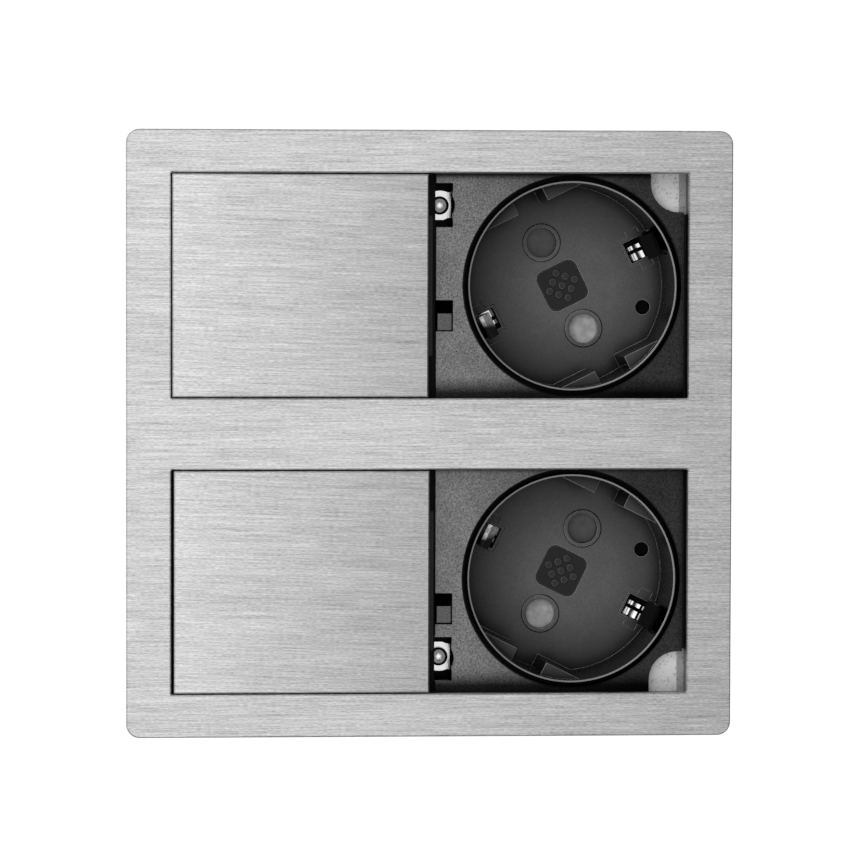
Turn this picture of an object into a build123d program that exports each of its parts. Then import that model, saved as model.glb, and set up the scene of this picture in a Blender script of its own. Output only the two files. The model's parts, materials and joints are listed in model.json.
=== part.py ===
"""Flush double earthed socket with two sliding covers.

Frame of the part: X to the right, Y up the face, Z out of the face. The origin is under the
middle of the rear housing, so the part stands on it and the face looks up. Every level is
given as a depth below the face. All sizes are in millimetres.
"""

from build123d import *
from math import cos, radians, sin
import os

os.makedirs("parts", exist_ok=True)

# Clearances that the pieces share
RUNNING_GAP = 0.15
SHAFT_GAP = 0.05
SEAT_GAP = 0.1
EDGE_BREAK = 0.25
SHEET = 1.0

# Face frame: its windows follow from the wells, the covers and the middle bar
FRAME_BORDER = 8.25
FRAME_END_BORDER = 8.5
FRAME_THICK = 2.0
FRAME_CORNER = 2.6
FRAME_COVER = 0.5
WINDOW_CORNER = 0.4
WINDOW_MID_X = 0.1
STUD_RADIUS = 1.5
STUD_LENGTH = 5.0
STUD_X = 30.0
NUT_SIDE = 5.5
NUT_THICK = 2.0

# Lid plate and the carrier that slides under it
LID_WIDTH = 49.2
LID_THICK = 1.5
LID_GAP = 0.3
LID_TO_PLATE = 2.0
LOWER_LID_SHIFT = 0.3
CARRIER_INSET = 0.4
CARRIER_HEIGHT = 4.7
CARRIER_SKIN = 1.8
CARRIER_WALL = 1.6
CARRIER_RIBS = 3
RUNNER_DROP = 1.95
RUNNER_THICK = 1.5
LIP_REACH = 0.9
LIP_LENGTH = 27.0
LIP_DROP = 0.6
LIP_THICK = 2.4

# Slide rails and the centre bridge between them
RAIL_THICK = 1.55
GROOVE_DEPTH = 0.8
RAIL_END_GAP = 0.4
BRIDGE_WIDTH = 9.2
BRIDGE_END_GAP = 1.0
ACCESS_RADIUS = 4.0

# Mounting tray and seal
FLANGE_SETBACK = 1.5
TRAY_MARGIN = 0.6
TRAY_CORNER = 1.0
OPENING_GAP = 0.6
SEAL_WIDTH = 2.6
SEAL_THICK = 1.0

# Blanking floor under the opened lid
BLANK_SETBACK = 0.3
BLANK_STEP = 1.0
BLANK_STEP_THICK = 0.5

# Socket plate
PLATE_DROP = 0.6
PLATE_THICK = 1.7
PLATE_CORNER = 0.8
PLATE_HOLE_GAP = 0.8
PLATE_LEFT_LAND = 5.35
PLATE_RIGHT_LAND = 0.45
PLATE_SIDE_LAND = 0.9
SADDLE_SLOT_REACH = 3.25
SADDLE_SLOT_Y = 15.65
SADDLE_SLOT_LENGTH = 8.6
SADDLE_BULGE_RADIUS = 3.5
SADDLE_BULGE_REACH = 0.45
LATCH_Y = -5.85
LATCH_SLOT_REACH = 3.3
LATCH_SLOT_LENGTH = 6.1
CORNER_CUT_WIDTH = 6.5
CORNER_CUT_LENGTH = 7.85
CORNER_CUT_RADIUS = 5.5
PEG_RADIUS = 1.2
PEG_LENGTH = 0.9
PEG_INSET = 3.2

# Socket well, made to take a standard plug
PIN_TILT = 26.3
PIN_SPACING = 19.0
PIN_HOLE_RADIUS = 2.95
WELL_RADIUS = 20.0
WELL_DEPTH = 17.5
WELL_WALL = 1.0
WELL_LIP = 0.5
WELL_SETBACK = 0.2
WELL_FLOOR_THICK = 1.5
WELL_FLANGE_WIDTH = 3.0
WELL_FLANGE_THICK = 1.5
COLLAR_WIDTH = 0.7
COLLAR_RISE = 0.25
RIB_HEIGHT = 3.0
RIB_CHANNEL = 6.4
RIB_DROP = 1.75
CLIP_SLOT_REACH = 6.1
CLIP_SLOT_WIDTH = 5.6
CLIP_EAR_REACH = 4.3
CLIP_EAR_LENGTH = 2.7
CLIP_EAR_WIDTH = 8.4
CLIP_POCKET_CUT = 0.4
CLIP_POCKET_DROP = 3.2
VENT_RADIUS = 1.45
VENT_INSET = 3.9
VENT_Y = -4.3
LATCH_TAB_WIDTH = 2.8
LATCH_TAB_LENGTH = 3.3
LATCH_TAB_LEFT = 0.3
LATCH_TAB_RISE = 0.9
SADDLE_LEDGE_LEFT = 0.8
SADDLE_LEDGE_RIGHT = 7.4
SADDLE_LEDGE_DEPTH = 3.5
SADDLE_LEDGE_DROP = 7.0

# Centre cap, screw and nut
CAP_SIDE = 8.4
CAP_CORNER = 1.8
CAP_DROP = 0.2
CAP_THICK = 0.9
PIP_RADIUS = 0.65
PIP_PITCH = 1.95
PIP_RISE = 0.15
PIP_TURN = 45.0
SCREW_RADIUS = 1.75
SCREW_HEAD_RADIUS = 2.9
SCREW_HEAD_THICK = 1.8
SCREW_TAIL = 0.2
CENTRE_NUT_SIDE = 6.0
CENTRE_NUT_THICK = 2.2
SLOT_WIDTH = 0.8
SLOT_DEPTH = 0.7

# Pin shutter and the spiral spring that turns it back
SHUTTER_TOP_GAP = 0.25
SHUTTER_THICK = 3.2
SHUTTER_FOOT_GAP = 0.45
SHUTTER_HUB_WALL = 1.4
BOSS_RADIUS = 4.95
BLADE_REACH = 3.2
BLADE_HALF_ANGLE = 19.0
BLADE_RAMP = 1.6
SPRING_STRIP = 0.25
SPRING_HEIGHT = 3.0
SPRING_TURNS = 2.5

# Contact base
BASE_HEIGHT = 20.0
BASE_FLAT_INSET = 1.1
SHUTTER_ROOM_GAP = 0.9
HUB_RADIUS = 3.2
SPRING_ROOM_WIDTH = 2.4
SPRING_ROOM_DEPTH = 3.6
CHAMBER_HALF_LENGTH = 3.8
CHAMBER_WIDTH = 7.0
CHAMBER_FLOOR = 1.4

# Line and neutral contacts, and their screws
CONTACT_SHEET = 0.8
CONTACT_WIDTH = 6.0
CONTACT_TOP_GAP = 1.1
CONTACT_FOOT_GAP = 0.6
CONTACT_PINCH = 2.2
CONTACT_SPREAD = 3.2
CONTACT_PINCH_DROP = 4.0
TAIL_RISE = 5.0
TAIL_THICK = 1.2
TAIL_SCREW_GAP = 0.5
TAIL_END = 2.0
TERMINAL_SCREW_RADIUS = 1.5
TERMINAL_HEAD_RADIUS = 2.4
TERMINAL_HEAD_THICK = 2.0
TERMINAL_POCKET_WIDTH = 5.2

# Earth strap: one bent strip, up one side of the base and down the other
STRAP_SHEET = 0.8
STRAP_WIDTH = 4.8
STRAP_CLIP_START = 0.5
STRAP_TIP_INSET = 3.1
STRAP_TIP_DROP = 6.2
STRAP_END_INSET = 1.4
STRAP_END_DROP = 2.2
STRAP_TERMINAL_REACH = 12.5

# Saddle clamp: its wide outer end, its narrow inner end and the two lugs beside them
SADDLE_SCREW_INSET = 1.0
SADDLE_SHEET = 0.8
SADDLE_LEFT = 1.3
SADDLE_RIGHT = 1.6
SADDLE_OUTER = 2.6
SADDLE_ARCH = 0.3
SADDLE_INNER = 2.8
SADDLE_TAPER = 0.75
SADDLE_GROOVE = 0.27
SADDLE_GROOVE_DEPTH = 0.55
SADDLE_LUG_WIDTH = 0.45
SADDLE_LUG_LENGTH = 1.0
SADDLE_HEAD_RADIUS = 1.8
SADDLE_HEAD_THICK = 1.3
SADDLE_SCREW_RADIUS = 1.0
SADDLE_SCREW_LENGTH = 6.0
CROSS_WIDTH = 0.55
CROSS_DEPTH = 0.6

# Rear housing and its screws
HOUSING_WALL = 1.8
HOUSING_CORNER = 3.0
HOUSING_ROOM = 1.0
COLUMN_RADIUS = 3.4
COLUMN_INSET = 2.8
COLUMN_INNER_Y = 7.5
HOUSING_SCREW_RADIUS = 1.4
HOUSING_SCREW_LENGTH = 15.5
HOUSING_HEAD_RADIUS = 2.4
HOUSING_HEAD_THICK = 2.0

# Cable entry, set back in a pocket of the housing
POCKET_DEPTH = 10.5
POCKET_HALF_WIDTH = 13.0
POCKET_CLEARANCE = 8.7
ENTRY_RISE = 8.0
GLAND_BORE = 4.2
GLAND_THREAD_RADIUS = 5.5
GLAND_HEX_SIDE = 13.0
GLAND_HEX_THICK = 3.0
GLAND_NECK = 5.0
GLAND_NUT_THICK = 3.0

# Cord clamp and supply terminal block
CLAMP_FROM_ENTRY = 12.1
CLAMP_LENGTH = 24.0
CLAMP_WIDTH = 6.0
CLAMP_THICK = 3.0
CLAMP_CORNER = 2.2
CLAMP_POST_RADIUS = 2.6
CLAMP_SCREW_SPACING = 18.0
BLOCK_FROM_CLAMP = 15.0
BLOCK_LENGTH = 30.0
BLOCK_WIDTH = 17.0
BLOCK_HEIGHT = 13.0
BLOCK_POLES = 3
BLOCK_PITCH = 10.0
BLOCK_BORE = 2.2
BLOCK_SCREW_RADIUS = 1.7

# Retaining springs that grip the edge of the cut-out, by their height above the base
RETAINER_SHEET = 0.7
RETAINER_WIDTH = 12.0
RETAINER_Y = 30.0
RETAINER_FOOT = 5.0
RETAINER_SCREW_RISE = 9.5
RETAINER_BEND_RISE = 16.0
RETAINER_SPREAD = 4.8
RETAINER_ELBOW_RISE = 30.0
RETAINER_END_RISE = 33.0
RETAINER_SCREW_LENGTH = 1.6

# Levels below the face, from the lid down to the base
CARRIER_BOTTOM = LID_THICK + CARRIER_HEIGHT
RUNNER_TOP = LID_THICK + RUNNER_DROP
LIP_TOP = LID_THICK + LIP_DROP
PLATE_TOP = CARRIER_BOTTOM + PLATE_DROP
TRAY_FLOOR = PLATE_TOP + PLATE_THICK
TRAY_BOTTOM = TRAY_FLOOR + SHEET
WELL_RIM = PLATE_TOP + WELL_SETBACK
WELL_FLOOR = WELL_RIM + WELL_DEPTH
WELL_UNDERSIDE = WELL_FLOOR + WELL_FLOOR_THICK
SADDLE_LEDGE_TOP = TRAY_BOTTOM + SADDLE_LEDGE_DEPTH
SHUTTER_ROOM_DEPTH = SHUTTER_TOP_GAP + SHUTTER_THICK + SHUTTER_FOOT_GAP
SHUTTER_ROOM_FLOOR = WELL_UNDERSIDE + SHUTTER_ROOM_DEPTH
BASE_BOTTOM = WELL_UNDERSIDE + BASE_HEIGHT
TAIL_DEPTH = BASE_BOTTOM - TAIL_RISE
CHAMBER_BOTTOM = BASE_BOTTOM - CHAMBER_FLOOR
STRAP_BOTTOM = BASE_BOTTOM + STRAP_SHEET
SCREW_END = STRAP_BOTTOM + CENTRE_NUT_THICK + SCREW_TAIL
HOUSING_FLOOR = SCREW_END + HOUSING_ROOM
TOTAL_HEIGHT = HOUSING_FLOOR + HOUSING_WALL
ENTRY_DEPTH = HOUSING_FLOOR - ENTRY_RISE
POCKET_TOP = ENTRY_DEPTH - POCKET_CLEARANCE

# Widths across the rows, from the well outwards
PLATE_HOLE_RADIUS = WELL_RADIUS + WELL_LIP + PLATE_HOLE_GAP
PLATE_HALF_Y = PLATE_HOLE_RADIUS + PLATE_SIDE_LAND
WINDOW_HEIGHT = 2 * (PLATE_HALF_Y - FRAME_COVER)
LID_HEIGHT = WINDOW_HEIGHT - 2 * LID_GAP
RAIL_INNER = PLATE_HALF_Y + RUNNING_GAP
RAIL_OUTER = RAIL_INNER + RAIL_THICK
RUNNER_REACH = RAIL_INNER + GROOVE_DEPTH - RUNNING_GAP
BRIDGE_HALF_Y = BRIDGE_WIDTH / 2
ROW_Y = BRIDGE_HALF_Y + SHAFT_GAP + RAIL_OUTER
FRAME_LENGTH = 2 * (ROW_Y + WINDOW_HEIGHT / 2 + FRAME_BORDER)
SEAT_LENGTH = FRAME_LENGTH - 2 * FLANGE_SETBACK
TRAY_HALF_Y = ROW_Y + RAIL_OUTER + SHAFT_GAP
HOUSING_HALF_Y = TRAY_HALF_Y + SHEET
HOUSING_INNER_Y = HOUSING_HALF_Y - HOUSING_WALL

# Lengths along the rows, from the lid to the right edge of the plate
PLATE_WIDTH = PLATE_LEFT_LAND + 2 * PLATE_HOLE_RADIUS + PLATE_RIGHT_LAND
WINDOW_WIDTH = LID_GAP + LID_WIDTH + LID_TO_PLATE + PLATE_WIDTH + SEAT_GAP
FRAME_WIDTH = WINDOW_WIDTH + 2 * FRAME_END_BORDER
SEAT_WIDTH = FRAME_WIDTH - 2 * FLANGE_SETBACK
WINDOW_LEFT = WINDOW_MID_X - WINDOW_WIDTH / 2
WINDOW_RIGHT = WINDOW_MID_X + WINDOW_WIDTH / 2
LID_LEFT = WINDOW_LEFT + LID_GAP
LID_RIGHT = LID_LEFT + LID_WIDTH
PLATE_RIGHT = WINDOW_RIGHT - SEAT_GAP
PLATE_LEFT = PLATE_RIGHT - PLATE_WIDTH
BLANK_RIGHT = PLATE_LEFT - SEAT_GAP - BLANK_STEP
WELL_X = PLATE_RIGHT - PLATE_RIGHT_LAND - PLATE_HOLE_RADIUS
SADDLE_SCREW_X = PLATE_LEFT + SADDLE_SCREW_INSET
TRAY_HALF_X = WINDOW_WIDTH / 2 + TRAY_MARGIN
HOUSING_HALF_X = TRAY_HALF_X + SHEET
HOUSING_INNER_X = HOUSING_HALF_X - HOUSING_WALL
COLUMN_X = HOUSING_INNER_X - COLUMN_INSET
COLUMN_OUTER_Y = HOUSING_INNER_Y - COLUMN_INSET
POCKET_WALL_X = POCKET_DEPTH - HOUSING_HALF_X
CLAMP_X = POCKET_WALL_X + CLAMP_FROM_ENTRY
BLOCK_X = CLAMP_X + BLOCK_FROM_CLAMP

# Radii about the well's axis
OPENING_RADIUS = WELL_RADIUS + WELL_WALL + OPENING_GAP
PIN_REACH = PIN_SPACING / 2
BLADE_TIP_RADIUS = PIN_REACH + BLADE_REACH
SHUTTER_ROOM_RADIUS = BLADE_TIP_RADIUS + SHUTTER_ROOM_GAP
SPRING_ROOM_RADIUS = HUB_RADIUS + SPRING_ROOM_WIDTH
BASE_RADIUS = WELL_RADIUS + CLIP_POCKET_CUT
BASE_FLAT = WELL_RADIUS - BASE_FLAT_INSET
STRAP_LEG = BASE_FLAT + SEAT_GAP + STRAP_SHEET / 2
CONTACT_OUTSIDE = PIN_REACH + CONTACT_SPREAD + CONTACT_SHEET / 2
TAIL_SCREW_REACH = CONTACT_OUTSIDE + TERMINAL_HEAD_RADIUS + TAIL_SCREW_GAP
TAIL_REACH = TAIL_SCREW_REACH + TAIL_END

UPPER = 1
LOWER = -1
SIDES = {"upper": UPPER, "lower": LOWER}


def height(depth):
    """Z of the level that lies this far below the face."""
    return TOTAL_HEIGHT - depth


def slab(x_range, y_range, depths, corner=0.0):
    """Block between two depths, with its four upright edges rounded."""
    width = x_range[1] - x_range[0]
    length = y_range[1] - y_range[0]
    outline = RectangleRounded(width, length, corner) if corner else Rectangle(width, length)
    middle = ((x_range[0] + x_range[1]) / 2, (y_range[0] + y_range[1]) / 2)
    return Pos(middle[0], middle[1], height(depths[1])) * extrude(outline, depths[1] - depths[0])


def centred_slab(half_x, half_y, depths, corner=0.0):
    """Block about the Z axis between two depths."""
    return slab((-half_x, half_x), (-half_y, half_y), depths, corner)


def post(x, y, radius, depths):
    """Upright cylinder between two depths."""
    upright = Cylinder(radius, depths[1] - depths[0], align=(Align.CENTER, Align.CENTER, Align.MIN))
    return Pos(x, y, height(depths[1])) * upright


def prism(outline, depths):
    """Flat outline, drawn about the Z axis, raised between two depths."""
    return Pos(0, 0, height(depths[1])) * extrude(outline, depths[1] - depths[0])


def bent_strip(points, thickness, width):
    """Sheet strip that follows corner points in the XZ plane, centred on Y."""
    path = Polyline(*[(x, height(depth)) for x, depth in points])
    return extrude(Plane.XZ * trace(path, thickness), width / 2, both=True)


def top_edges(shape):
    """Edges of the highest flat face."""
    return shape.faces().sort_by(Axis.Z)[-1].edges()


def in_row(shape, side):
    """Put a piece, drawn about the upper row's own centre line, into its row."""
    facing = shape if side == UPPER else mirror(shape, about=Plane.XZ)
    return Pos(0, side * ROW_Y, 0) * facing


def in_well(shape, side):
    """Put a piece, drawn about the well's axis with its pins on Y, into its row."""
    return in_row(Pos(WELL_X, 0, 0) * Rot(0, 0, PIN_TILT) * shape, side)


def latch_y(side):
    """Both latches lie below the row's centre line, so the mirrored row draws its own above."""
    return side * LATCH_Y


def face_frame():
    """Square plate with two windows, and two weld studs under its middle bar."""
    plate = centred_slab(FRAME_WIDTH / 2, FRAME_LENGTH / 2, (0, FRAME_THICK), FRAME_CORNER)
    for side in SIDES.values():
        low = side * ROW_Y - WINDOW_HEIGHT / 2
        high = side * ROW_Y + WINDOW_HEIGHT / 2
        plate -= slab((WINDOW_LEFT, WINDOW_RIGHT), (low, high), (0, FRAME_THICK), WINDOW_CORNER)
    plate = chamfer(top_edges(plate), EDGE_BREAK)
    for x in (-STUD_X, STUD_X):
        plate += post(x, 0, STUD_RADIUS, (FRAME_THICK, FRAME_THICK + STUD_LENGTH))
    return plate


def frame_nuts():
    """Hexagon nuts on the frame's studs, under the bridge."""
    top = FRAME_THICK + SHEET
    nuts = []
    for x in (-STUD_X, STUD_X):
        outline = RegularPolygon(NUT_SIDE / 2, 6, major_radius=False) - Circle(STUD_RADIUS + SHAFT_GAP)
        nuts.append(Pos(x, 0, 0) * prism(outline, (top, top + NUT_THICK)))
    return Compound(nuts)


def lid_plate(side):
    """Flush cover of one row, a plain sheet with its top edges broken."""
    shift = LOWER_LID_SHIFT if side == LOWER else 0.0
    half = LID_HEIGHT / 2
    plate = slab((LID_LEFT + shift, LID_RIGHT + shift), (-half, half), (0, LID_THICK))
    return in_row(chamfer(top_edges(plate), EDGE_BREAK), side)


def lid_carrier(side):
    """Ribbed slide under the lid, with a runner along each side and a lip at the right."""
    shift = LOWER_LID_SHIFT if side == LOWER else 0.0
    left = LID_LEFT + CARRIER_INSET + shift
    right = LID_RIGHT - CARRIER_INSET + shift
    half = LID_HEIGHT / 2 - CARRIER_INSET
    body = slab((left, right), (-half, half), (LID_THICK, CARRIER_BOTTOM))
    cavity_top = LID_THICK + CARRIER_SKIN
    inner = (left + CARRIER_WALL, right - CARRIER_WALL)
    inner_half = half - CARRIER_WALL
    body -= slab(inner, (-inner_half, inner_half), (cavity_top, CARRIER_BOTTOM))
    bay = (inner[1] - inner[0]) / (CARRIER_RIBS + 1)
    for number in range(1, CARRIER_RIBS + 1):
        middle = inner[0] + number * bay
        span = (middle - CARRIER_WALL / 2, middle + CARRIER_WALL / 2)
        body += slab(span, (-inner_half, inner_half), (cavity_top, CARRIER_BOTTOM))
    runner = (RUNNER_TOP, RUNNER_TOP + RUNNER_THICK)
    for edge in (-1, 1):
        band = sorted((edge * (half - CARRIER_WALL), edge * RUNNER_REACH))
        body += slab((left, right), band, runner)
    lip_right = LID_RIGHT + LIP_REACH + shift
    lip = (LIP_TOP, LIP_TOP + LIP_THICK)
    body += slab((right, lip_right), (-LIP_LENGTH / 2, LIP_LENGTH / 2), lip)
    return in_row(body, side)


def slide_rails(side):
    """Two grooved rails that stand on the tray floor and hold the lid down."""
    rails = []
    groove = (RUNNER_TOP - RUNNING_GAP, RUNNER_TOP + RUNNER_THICK + RUNNING_GAP)
    half = WINDOW_WIDTH / 2 - RAIL_END_GAP
    for edge in (-1, 1):
        body = sorted((edge * RAIL_INNER, edge * RAIL_OUTER))
        cut = sorted((edge * RAIL_INNER, edge * (RAIL_INNER + GROOVE_DEPTH)))
        rail = slab((-half, half), body, (FRAME_THICK, TRAY_FLOOR))
        rails.append(rail - slab((-half, half), cut, groove))
    return in_row(Compound(rails), side)


def socket_opening(side, margin):
    """Cut in the tray for a well, its latch and its saddle clamp."""
    low = PLATE_LEFT - SADDLE_LEDGE_LEFT - margin
    latch = latch_y(side)
    latch_half = LATCH_SLOT_LENGTH / 2 + margin
    saddle_half = SADDLE_SLOT_LENGTH / 2 + margin
    depths = (TRAY_FLOOR, TRAY_BOTTOM)
    cut = post(WELL_X, 0, OPENING_RADIUS, depths)
    cut += slab((low, WELL_X), (latch - latch_half, latch + latch_half), depths)
    saddle = (SADDLE_SLOT_Y - saddle_half, SADDLE_SLOT_Y + saddle_half)
    return cut + slab((low, PLATE_LEFT + SADDLE_LEDGE_RIGHT + margin), saddle, depths)


def housing_columns():
    """Places of the screws that hold the housing up to the tray."""
    inner = [(x, y) for x in (-COLUMN_X, COLUMN_X) for y in (-COLUMN_INNER_Y, COLUMN_INNER_Y)]
    outer = [(-COLUMN_X, y) for y in (-COLUMN_OUTER_Y, COLUMN_OUTER_Y)]
    return inner + outer


def mounting_tray():
    """Pressed sheet tray: flange, walls and a floor with an opening for each well."""
    wall_x = TRAY_HALF_X + SHEET
    wall_y = TRAY_HALF_Y + SHEET
    flange = (FRAME_THICK, FRAME_THICK + SHEET)
    tray = centred_slab(SEAT_WIDTH / 2, SEAT_LENGTH / 2, flange, FRAME_CORNER)
    tray += centred_slab(wall_x, wall_y, (FRAME_THICK, TRAY_BOTTOM), TRAY_CORNER + SHEET)
    tray -= centred_slab(TRAY_HALF_X, TRAY_HALF_Y, (FRAME_THICK, TRAY_FLOOR), TRAY_CORNER)
    for side in SIDES.values():
        tray -= in_row(socket_opening(side, SEAT_GAP), side)
        for x, y in peg_places():
            tray -= in_row(post(x, y, PEG_RADIUS + SEAT_GAP, (TRAY_FLOOR, TRAY_BOTTOM)), side)
    for x, y in housing_columns():
        tray -= post(x, y, HOUSING_SCREW_RADIUS + SHAFT_GAP, (TRAY_FLOOR, TRAY_BOTTOM))
    for x in (-STUD_X, STUD_X):
        tray -= post(x, 0, ACCESS_RADIUS, (TRAY_FLOOR, TRAY_BOTTOM))
    return tray


def flange_seal():
    """Flat ring of soft rubber under the tray's flange."""
    outline = RectangleRounded(SEAT_WIDTH, SEAT_LENGTH, FRAME_CORNER)
    outline -= RectangleRounded(SEAT_WIDTH - 2 * SEAL_WIDTH, SEAT_LENGTH - 2 * SEAL_WIDTH, FRAME_CORNER)
    top = FRAME_THICK + SHEET
    return prism(outline, (top, top + SEAL_THICK))


def centre_bridge():
    """Folded channel between the rows, which carries the frame's middle bar."""
    half = WINDOW_WIDTH / 2 - BRIDGE_END_GAP
    channel = centred_slab(half, BRIDGE_HALF_Y, (FRAME_THICK, TRAY_FLOOR))
    inside = (FRAME_THICK + SHEET, TRAY_FLOOR)
    channel -= centred_slab(half, BRIDGE_HALF_Y - SHEET, inside)
    for x in (-STUD_X, STUD_X):
        channel -= post(x, 0, STUD_RADIUS + SHAFT_GAP, (FRAME_THICK, FRAME_THICK + SHEET))
    return channel


def blanking_floor(side):
    """Black floor of the left half of a row, stepped where it meets the socket plate."""
    width = (-PLATE_HALF_Y, PLATE_HALF_Y)
    left = BLANK_SETBACK - TRAY_HALF_X
    floor = slab((left, BLANK_RIGHT), width, (WELL_RIM, TRAY_FLOOR), PLATE_CORNER)
    step = (BLANK_RIGHT - PLATE_CORNER, BLANK_RIGHT + BLANK_STEP)
    return in_row(floor + slab(step, width, (TRAY_FLOOR - BLANK_STEP_THICK, TRAY_FLOOR)), side)


def socket_plate(side):
    """Black plate round the well, with two notches at its left and one corner cut away."""
    depths = (PLATE_TOP, TRAY_FLOOR)
    plate = slab((PLATE_LEFT, PLATE_RIGHT), (-PLATE_HALF_Y, PLATE_HALF_Y), depths, PLATE_CORNER)
    plate -= post(WELL_X, 0, PLATE_HOLE_RADIUS, depths)
    saddle_half = SADDLE_SLOT_LENGTH / 2
    saddle = (SADDLE_SLOT_Y - saddle_half, SADDLE_SLOT_Y + saddle_half)
    slot_right = PLATE_LEFT + SADDLE_SLOT_REACH
    plate -= slab((PLATE_LEFT, slot_right), saddle, depths)
    bulge_x = slot_right + SADDLE_BULGE_REACH - SADDLE_BULGE_RADIUS
    plate -= post(bulge_x, SADDLE_SLOT_Y, SADDLE_BULGE_RADIUS, depths)
    latch_half = LATCH_SLOT_LENGTH / 2
    latch = (latch_y(side) - latch_half, latch_y(side) + latch_half)
    plate -= slab((PLATE_LEFT, PLATE_LEFT + LATCH_SLOT_REACH), latch, depths)
    cut_x = (PLATE_RIGHT - CORNER_CUT_WIDTH, PLATE_RIGHT + CORNER_CUT_WIDTH)
    cut_y = (PLATE_HALF_Y - CORNER_CUT_LENGTH, PLATE_HALF_Y + CORNER_CUT_LENGTH)
    plate -= slab(cut_x, cut_y, depths, CORNER_CUT_RADIUS)
    rim = top_edges(plate).filter_by(GeomType.CIRCLE).sort_by(SortBy.RADIUS)[-1]
    plate = chamfer(rim, EDGE_BREAK)
    for x, y in peg_places():
        plate += post(x, y, PEG_RADIUS, (TRAY_FLOOR, TRAY_FLOOR + PEG_LENGTH))
    return in_row(plate, side)


def peg_places():
    """Places of the three moulded pegs under the socket plate, about the row's centre line."""
    edge = PLATE_HALF_Y - PEG_INSET
    corner = PLATE_RIGHT - CORNER_CUT_WIDTH
    beside_saddle = PLATE_LEFT + SADDLE_LEDGE_RIGHT + PEG_INSET
    return [(beside_saddle, edge), (beside_saddle, -edge), (corner, -edge)]


def clip_slots():
    """Openings on the clip axis, through the well's floor and up inside its wall."""
    reach = WELL_RADIUS + CLIP_POCKET_CUT
    floor = (WELL_FLOOR, WELL_UNDERSIDE)
    pocket = (WELL_RIM + CLIP_POCKET_DROP, WELL_UNDERSIDE)
    ear_start = WELL_RADIUS - CLIP_EAR_REACH
    shape = None
    for edge in (-1, 1):
        slot = sorted((edge * (WELL_RADIUS - CLIP_SLOT_REACH), edge * (reach + WELL_WALL)))
        ears = sorted((edge * ear_start, edge * (ear_start + CLIP_EAR_LENGTH)))
        cut = slab(slot, (-CLIP_SLOT_WIDTH / 2, CLIP_SLOT_WIDTH / 2), pocket)
        cut += slab(ears, (-CLIP_EAR_WIDTH / 2, CLIP_EAR_WIDTH / 2), floor)
        shape = cut if shape is None else shape + cut
    return shape & post(0, 0, reach, (WELL_RIM, WELL_UNDERSIDE))


def guide_ribs():
    """Four segments of the well that guide the plug, two at each end of the pin axis."""
    depths = (WELL_RIM + RIB_DROP, WELL_FLOOR)
    inner = WELL_RADIUS + WELL_LIP / 2
    ring = post(0, 0, inner, depths)
    ribs = None
    for end in (-1, 1):
        for hand in (-1, 1):
            along = sorted((end * (WELL_RADIUS - RIB_HEIGHT), end * inner))
            across = sorted((hand * RIB_CHANNEL / 2, hand * inner))
            rib = ring & slab(across, along, depths)
            ribs = rib if ribs is None else ribs + rib
    return ribs


def socket_well(side):
    """Cup that the plug goes into, with its floor, ribs, holes, flange, latch and ledge."""
    outer = WELL_RADIUS + WELL_WALL
    cup = post(0, 0, WELL_RADIUS + WELL_LIP, (WELL_RIM, TRAY_BOTTOM))
    cup += post(0, 0, outer, (TRAY_BOTTOM, WELL_UNDERSIDE))
    cup -= post(0, 0, WELL_RADIUS, (WELL_RIM, WELL_FLOOR))
    cup += guide_ribs()
    boss_end = SHUTTER_ROOM_FLOOR - SEAT_GAP
    cup += post(0, 0, BOSS_RADIUS, (WELL_UNDERSIDE, boss_end))
    for end in (-1, 1):
        y = end * PIN_REACH
        cup += post(0, y, PIN_HOLE_RADIUS + COLLAR_WIDTH, (WELL_FLOOR - COLLAR_RISE, WELL_FLOOR))
        cup -= post(0, y, PIN_HOLE_RADIUS, (WELL_FLOOR - COLLAR_RISE, WELL_UNDERSIDE))
    cup -= clip_slots()
    seat = CAP_SIDE + 2 * SEAT_GAP
    cap_bottom = WELL_FLOOR + CAP_DROP + CAP_THICK
    cup -= prism(RectangleRounded(seat, seat, CAP_CORNER), (WELL_FLOOR, cap_bottom))
    head_end = cap_bottom + SCREW_HEAD_THICK
    cup -= post(0, 0, SCREW_HEAD_RADIUS + SEAT_GAP, (cap_bottom, head_end))
    cup -= post(0, 0, SCREW_RADIUS + SHAFT_GAP, (head_end, boss_end))
    well = Pos(WELL_X, 0, 0) * Rot(0, 0, PIN_TILT) * cup
    vent_x = WELL_X + WELL_RADIUS - VENT_INSET
    well -= post(vent_x, VENT_Y, VENT_RADIUS, (WELL_FLOOR, WELL_UNDERSIDE))
    return in_row(well + well_flange() + latch_tab(side) + saddle_ledge(), side)


def well_flange():
    """Collar that seats under the tray, trimmed to clear the housing's wall."""
    depths = (TRAY_BOTTOM, TRAY_BOTTOM + WELL_FLANGE_THICK)
    radius = WELL_RADIUS + WELL_FLANGE_WIDTH
    ring = post(WELL_X, 0, radius, depths) - post(WELL_X, 0, WELL_RADIUS + WELL_WALL / 2, depths)
    right = HOUSING_INNER_X - SEAT_GAP
    top = HOUSING_INNER_Y - ROW_Y - SEAT_GAP
    return ring & slab((WELL_X - radius, right), (-radius, top), depths)


def latch_tab(side):
    """Tab from the well's flange that snaps over the edge of the tray's opening."""
    low = PLATE_LEFT + LATCH_TAB_LEFT
    high = low + LATCH_TAB_WIDTH
    far = latch_y(side) - side * LATCH_SLOT_LENGTH / 2 + side * SEAT_GAP * 2
    span = sorted((far, far + side * LATCH_TAB_LENGTH))
    flange = (TRAY_BOTTOM, TRAY_BOTTOM + WELL_FLANGE_THICK)
    tab = slab((low, high), span, (TRAY_FLOOR - LATCH_TAB_RISE, TRAY_BOTTOM))
    arm = slab((low, WELL_X - WELL_RADIUS - WELL_LIP), span, flange)
    return tab + arm


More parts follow.
